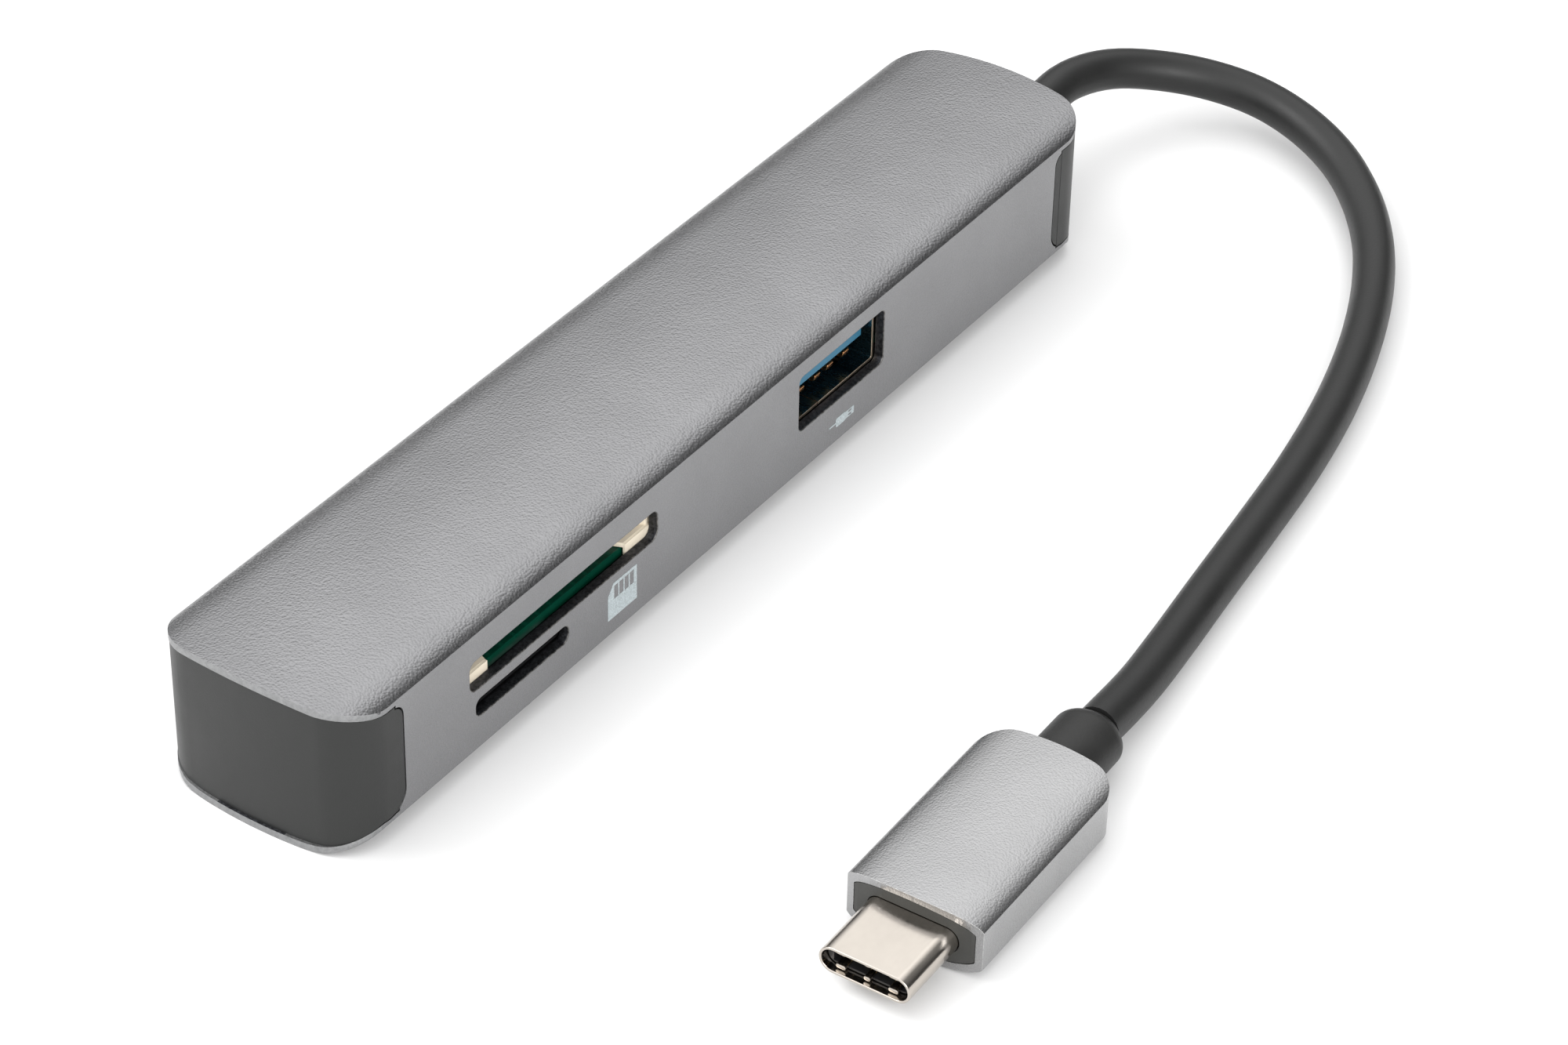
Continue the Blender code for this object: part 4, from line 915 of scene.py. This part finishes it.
def make_plug():
    """The plug's sleeve, face, shell and what shows in its mouth."""
    sleeve = prism("plug_body", plug_section(), -MM, PLUG_LENGTH + MM, "x")
    plan = plug_plan()
    keep_inside(sleeve, prism("plan", plan, -5 * MM, 5 * MM, "z"))
    inside = plug_section(PLUG_SIDE_WALL, PLUG_FLAT_WALL)
    cavity = prism("cavity", inside, -2 * MM, PLUG_LENGTH - 1.5 * MM, "x")
    tail_span = (PLUG_LENGTH - 3 * MM, PLUG_LENGTH + 2 * MM)
    cut(sleeve, cavity, oval_rod("tail", PLUG_TAIL_HOLE, *tail_span, (0, 0)))
    soften(sleeve, 0.12 * MM, 2, 45, None, 1)
    sleeve.data.transform(PLUG_FRAME)
    finish_piece(sleeve, ("plug", "plug_edge"), 28, replaces=("plug_sleeve",))

    section = plug_section(PLUG_SIDE_WALL + PLUG_FACE_GAP, PLUG_FLAT_WALL + PLUG_FACE_GAP)
    face = prism("plug_face", section, *PLUG_FACE_SPAN, "x")
    keep_inside(face, prism("plan", plan, -5 * MM, 5 * MM, "z"))
    cut(face, prism("mouth", usbc_outline(-0.06 * MM), -MM, 5 * MM, "x"))
    soften(face, 0.1 * MM, 2, 45)
    face.data.transform(PLUG_FRAME)
    finish_piece(face, ("insert",), 28, replaces=("plug_front_insert",))

    shell = prism("plug_tip_shell", usbc_outline(0), -USBC_OUT, 3.5 * MM, "x")
    cut(shell, prism("bore", usbc_outline(USBC_WALL), -USBC_OUT - MM, 4.5 * MM, "x"))
    soften(shell, 0.09 * MM, 3, 60)
    shell.data.transform(PLUG_FRAME)
    finish_piece(shell, ("nickel",), 40, replaces=("plug_shell",))

    section = usbc_outline(USBC_WALL + 0.1 * MM)
    core = prism("plug_tip_core", section, -USBC_OUT + PLUG_CORE_SETBACK, 3.3 * MM, "x")
    end, half, high = PLUG_CORE_HOLLOW
    cut(core, box("hollow", (-USBC_OUT, -half, -high), (end, half, high)))
    soften(core, 0.05 * MM, 1, 60)
    core.data.transform(PLUG_FRAME)
    finish_piece(core, ("black",), 40, replaces=("plug_insulator",))

    start, length = GROUND_SPRING_SPAN[0] - USBC_OUT, GROUND_SPRING_SPAN[1]
    for level, way in (("lower", -1), ("upper", 1)):
        for i, (across, wide) in enumerate(GROUND_SPRINGS, 1):
            centre = (across * MM, way * GROUND_SPRING_RISE)
            outline = rounded_rectangle((wide, GROUND_SPRING_HEIGHT), centre, 0.18 * MM)
            pad = prism(f"ground_spring_{level}_{i}", outline, start, start + length, "x")
            soften(pad, 0.06 * MM, 2, 50)
            pad.data.transform(PLUG_FRAME)
            finish_piece(pad, ("nickel",), 40)


make_plug()


# ---- ports and marks


def port_place(x, side):
    """From a port's own frame, its mouth at the origin and +Y inwards, to the object's."""
    turn = Matrix.Rotation(0 if side < 0 else math.pi, 4, "Z")
    return Matrix.Translation((x, side * (WALL_INSIDE - PORT_SETBACK), USB_HEIGHT)) @ turn


def ribbon(name, path, thickness, start, end, count=26):
    """A bent strip: a smooth path of (y, z) millimetres, thickened, between two values of x."""
    points = smooth_route([(u, v, 0) for u, v in path], count)
    left, right = [], []
    for i, point in enumerate(points):
        along = (points[min(i + 1, count - 1)] - points[max(i - 1, 0)]).normalized()
        across = Vector((-along.y, along.x, 0)) * thickness / 2
        left.append(((point + across).x * MM, (point + across).y * MM))
        right.append(((point - across).x * MM, (point - across).y * MM))
    return prism(name, left + right[::-1], start * MM, end * MM, "x")


def box_mm(name, low, high):
    return box(name, [v * MM for v in low], [v * MM for v in high])


def merged(name, parts):
    """Several pieces as one mesh, each still a closed body of its own."""
    shape = bmesh.new()
    for part in parts:
        shape.from_mesh(part.data)
        bpy.data.objects.remove(part)
    return new_piece(name, mesh_from(name, shape))


def make_usb_can(prefix, place):
    """The port's stamped shell, with a seam in its floor and four bent spring leaves."""
    looks, can_shade_slot, highlight_rim_slot = ("steel", "can_painted_shade", "can_painted_highlight_rim"), 1, 2
    outline = rounded_rectangle(USB_SHELL[::2], (0, 0), USB_SHELL_RADIUS, 8)
    can = prism(prefix + "_port_can", outline, 0, USB_SHELL[1], "y")
    give_looks(can, looks)
    inner = [size - 2 * USB_SHELL_WALL for size in USB_SHELL[::2]]
    bore = rounded_rectangle(inner, (0, 0), USB_BORE_RADIUS, 6)
    # The bore's faces take the painted shade and painted blue reflection.
    cutters = [prism("bore", bore, -MM, 15 * MM, "y", can_shade_slot), box_mm("seam", *USB_SEAM)]
    leaves = []
    thick, half = USB_LEAF
    wide, start, end = USB_LEAF_WINDOW
    for across in USB_LEAF_XS:
        for way in (-1, 1):
            low, high = sorted((way * 2.3, way * 4))
            corners = (across - wide, start, low), (across + wide, end, high)
            cutters.append(box_mm("window", *corners))
            path = [(u, way * v) for u, v in LEAF_PATH]
            leaves.append(ribbon("leaf", path, thick, across - half, across + half))
    cut(can, *cutters)
    join(can, *leaves)
    front = 0.01 * MM
    # The front faces and their rounded edges take the painted highlight.
    for face in can.data.polygons:
        if face.center.y < front:
            face.material_index = highlight_rim_slot
    soften(can, 0.07 * MM, 2, 60, lambda e: max(v.co.y for v in e.verts) < front, highlight_rim_slot)
    can.data.transform(place)
    finish_piece(can, looks, 35, replaces=(prefix + "_usb_shell",))


def make_usb_tongue(prefix, place):
    """The coloured plate that holds the contacts, grooved below, on its block."""
    plate = [(u * MM, v * MM) for u, v in TONGUE_PLATE]
    tongue = prism(prefix + "_port_tongue", plate, -TONGUE_HALF, TONGUE_HALF, "x")
    join(tongue, box_mm("block", *TONGUE_BLOCK))
    half, (start, end), (low, high) = GROOVE
    cutters = []
    for x in USB_CONTACT_XS:
        cutters.append(box_mm("groove", (x - half, start, low), (x + half, end, high)))
    cut(tongue, *cutters)
    soften(tongue, 0.07 * MM, 2, 50)
    tongue.data.transform(place)
    finish_piece(tongue, ("blue",), 35, replaces=(prefix + "_usb_tongue",))


def make_usb_port(prefix, x, side):
    """One USB-A port. Each contact spring rides on its own body."""
    place = port_place(x, side)
    make_usb_can(prefix, place)
    make_usb_tongue(prefix, place)
    thick, half = USB_CONTACT
    for i, across in enumerate(USB_CONTACT_XS, 1):
        name, span = f"{prefix}_port_spring_{i}", (across - half, across + half)
        spring = ribbon(name, CONTACT_ARM + CONTACT_BUMP, thick, *span, 40)
        soften(spring, 0.09 * MM, 3, 50)
        spring.data.transform(place)
        node, body = f"{prefix}_usb_contact_{i}", f"{prefix}_contact_{i}"
        finish_piece(spring, ("copper",), 50, body, replaces=(node,))


def make_video_port():
    """The video port in the back: its shell, its tongue and the tongue's contact strips."""
    place = port_place(VIDEO_X, 1)
    can = prism("video_port_can", video_outline(0), 0, VIDEO_DEPTH, "y")
    cut(can, prism("bore", video_outline(-VIDEO_WALL), -MM, VIDEO_DEPTH + MM, "y"))
    soften(can, 0.07 * MM, 2, 25)
    can.data.transform(place)
    finish_piece(can, ("steel",), 35, replaces=("video_socket_shell",))
    tongue = box_mm("video_port_tongue", *VIDEO_TONGUE)
    soften(tongue, 0.15 * MM, 2, 50)
    join(tongue, box_mm("block", *VIDEO_BLOCK))
    tongue.data.transform(place)
    finish_piece(tongue, ("black",), 35, replaces=("video_socket_tongue",))
    strips = []
    half, start, end = VIDEO_STRIP
    for way, count, face in VIDEO_ROWS:
        for i in range(count):
            x = (i - (count - 1) / 2) * VIDEO_PITCH
            low, high = sorted((face - way * 0.05, face + way * 0.04))
            strips.append(box_mm("strip", (x - half, start, low), (x + half, end, high)))
    contacts = merged("video_port_contacts", strips)
    contacts.data.transform(place)
    finish_piece(contacts, ("gold",), 35)


def make_card_frame():
    """The card socket's cream frame: lead-in side walls, a ledged floor, and a foot at each end."""
    (left, front, low), (right, back, top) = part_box("sd_socket_frame")
    holder = box("card_frame", (left, front, low), (right, back, top))
    middle, half = SD_WINDOW[0], SD_WINDOW[2] / 2
    left, right = middle - half, middle + half

    def outlined(from_left, from_right, inset):
        outline = [(left + u * MM, front + v * MM) for u, v in from_left]
        outline += [(right - u * MM, front + v * MM) for u, v in from_right]
        inner_back = back - CARD_BACK_WALL
        return outline + [(right - inset, inner_back), (left + inset, inner_back)]

    channel = outlined(CARD_LEAD_IN[::-1], CARD_LEAD_IN, CARD_CHANNEL_BACK)
    opening = outlined(CARD_OPENING_LEFT, CARD_OPENING_RIGHT, CARD_OPENING_BACK)
    cut(
        holder,
        prism("channel", channel, low + CARD_FLOOR, top + MM, "z"),
        prism("opening", opening, low - MM, top + MM, "z"),
    )
    (outer, inner), (under, over) = CARD_FOOT_DEPTH, CARD_FOOT_HEIGHT
    left_foot = (left - CARD_FOOT_OUT, left + CARD_FOOT_IN[0])
    right_foot = (right - CARD_FOOT_IN[1], right + CARD_FOOT_OUT)
    for start, end in (left_foot, right_foot):
        corners = (start, front + outer, low + under), (end, front + inner, low + over)
        join(holder, box("foot", *corners))
    soften(holder, 0.1 * MM, 2, 45)
    finish_piece(holder, ("cream",), 35, replaces=("sd_socket_frame",))


def make_marks():
    """Pale prints on the port side: a plain card, and a plain plug on its lead."""
    start, end = (-HALF_WIDTH + skin for skin in MARK_SKIN)
    mark = prism("card_mark", [(u * MM, v * MM) for u, v in CARD_MARK], start, end, "y")
    bars = []
    count, first, pitch, wide = CARD_MARK_BARS
    for i in range(count):
        left = first + pitch * i
        bars.append(box_mm("bar", (left, -11, 5.5), (left + wide, -10, 6.9)))
    cut(mark, *bars)
    finish_piece(mark, ("print",), 35)
    plug = rounded_rectangle(PLUG_MARK_SIZE, PLUG_MARK_CENTRE, 0.2 * MM)
    mark = prism("plug_mark", plug, start, end, "y")
    for name, ((left, low), (right, high)) in (("lead", PLUG_MARK_LEAD), ("tip", PLUG_MARK_TIP)):
        join(mark, box_mm(name, (left, start / MM, low), (right, end / MM, high)))
    holes = [box_mm("hole", (14.6, -11, z - 0.1), (15.1, -10, z + 0.1)) for z in PLUG_MARK_HOLES]
    cut(mark, *holes)
    finish_piece(mark, ("print",), 35)


make_usb_port("front", FRONT_USB_X, -1)
make_usb_port("rear", REAR_USB_X, 1)
make_video_port()
make_card_frame()
make_marks()


# ---- carried-over nodes


CARRIED_OVER = {
    "black": ("insulating_tray", "power_inductor", "microsd_socket_shell", "microsd_socket_base"),
    "board": ("main_board", "plug_board"),
    "chip": ("hub_controller_chip", "video_chip", "card_reader_chip", "power_chip"),
    "steel": ("crystal", "sd_socket_lid", "cable_crimp"),
    "copper": ("capacitor_1", "capacitor_2", "sd_contact_comb"),
    "gold": ("microsd_contact_comb", "plug_contacts_upper", "plug_contacts_lower"),
    "wire": ("signal_wire_1", "signal_wire_2", "signal_wire_3", "signal_wire_4"),
    "white": ("plug_inner_mould",),
}
for look, nodes in CARRIED_OVER.items():
    for node in nodes:
        NODES[node].data.materials.clear()
        NODES[node].data.materials.append(LOOKS[look])


# ---- stage, light and camera


def make_stage():
    """A plain pale floor."""
    shape = bmesh.new()
    bmesh.ops.create_grid(shape, x_segments=1, y_segments=1, size=FLOOR_HALF)
    floor = new_piece("studio_floor", mesh_from("studio_floor", shape))
    look = Look("white_paper", PAPER, 0.85, 0.0, 0.2)
    look.rough(look.noise(0.05, 2), 0.8, 0.9)
    floor.data.materials.append(look.material)


def area_light(name, place, target, side, power):
    """A square white lamp that faces its target."""
    lamp = bpy.data.lights.new(name, "AREA")
    lamp.shape = "RECTANGLE"
    lamp.size = lamp.size_y = side
    lamp.energy = power
    obj = bpy.data.objects.new(name, lamp)
    bpy.context.scene.collection.objects.link(obj)
    obj.location = place
    aim = Vector(target) - Vector(place)
    obj.rotation_mode = "QUATERNION"
    obj.rotation_quaternion = aim.to_track_quat("-Z", "Y")


def make_light():
    """A dome that is bright overhead and behind the viewer, dark low down beyond the hub."""
    world = bpy.data.worlds.new("studio")
    bpy.context.scene.world = world
    world.use_nodes = True
    nodes, links = world.node_tree.nodes, world.node_tree.links

    def graded(value, start, end, low, high):
        step = nodes.new("ShaderNodeMapRange")
        for key, number in (("From Min", start), ("From Max", end)):
            step.inputs[key].default_value = number
        for key, number in (("To Min", low), ("To Max", high)):
            if isinstance(number, float):
                step.inputs[key].default_value = number
            else:
                links.new(number, step.inputs[key])
        links.new(value, step.inputs["Value"])
        return step.outputs["Result"]

    way = nodes.new("ShaderNodeSeparateXYZ")
    links.new(nodes.new("ShaderNodeTexCoord").outputs["Generated"], way.inputs["Vector"])
    across = graded(way.outputs["Y"], *DOME_ACROSS, DOME_SIDE, DOME_TOP)
    above = graded(way.outputs["X"], *DOME_TURN, DOME_TOP, across)
    horizon = graded(way.outputs["X"], *DOME_TURN, DOME_NEAR, DOME_FAR)
    links.new(
        graded(way.outputs["Z"], *DOME_RISE, horizon, above),
        nodes["Background"].inputs["Strength"],
    )
    nodes["Background"].inputs["Color"].default_value = (1, 1, 1, 1)
    for lamp in LAMPS:
        area_light(*lamp)


def make_camera():
    """The camera looks at its target from an azimuth and elevation, rolled a little."""
    azimuth, elevation = math.radians(CAMERA_AZIMUTH), math.radians(CAMERA_ELEVATION)
    flat = math.cos(elevation)
    back = Vector((math.sin(azimuth) * flat, -math.cos(azimuth) * flat, math.sin(elevation)))
    level = Vector((0, 0, 1)).cross(back).normalized()
    up = back.cross(level)
    roll = math.radians(CAMERA_ROLL)
    right = level * math.cos(roll) + up * math.sin(roll)
    top = up * math.cos(roll) - level * math.sin(roll)
    lens = bpy.data.cameras.new("camera")
    lens.lens = LENS_LENGTH
    lens.sensor_width = SENSOR_WIDTH
    lens.shift_x, lens.shift_y = LENS_SHIFT
    lens.clip_start = 0.01
    lens.clip_end = 10
    camera = bpy.data.objects.new("camera", lens)
    bpy.context.scene.collection.objects.link(camera)
    turn = Matrix((right, top, back)).transposed().to_4x4()
    place = Vector(CAMERA_TARGET) * MM + back * CAMERA_DISTANCE * MM
    camera.matrix_world = Matrix.Translation(place) @ turn
    bpy.context.scene.camera = camera


make_stage()
make_light()
make_camera()
bpy.context.scene.view_settings.view_transform = "Standard"
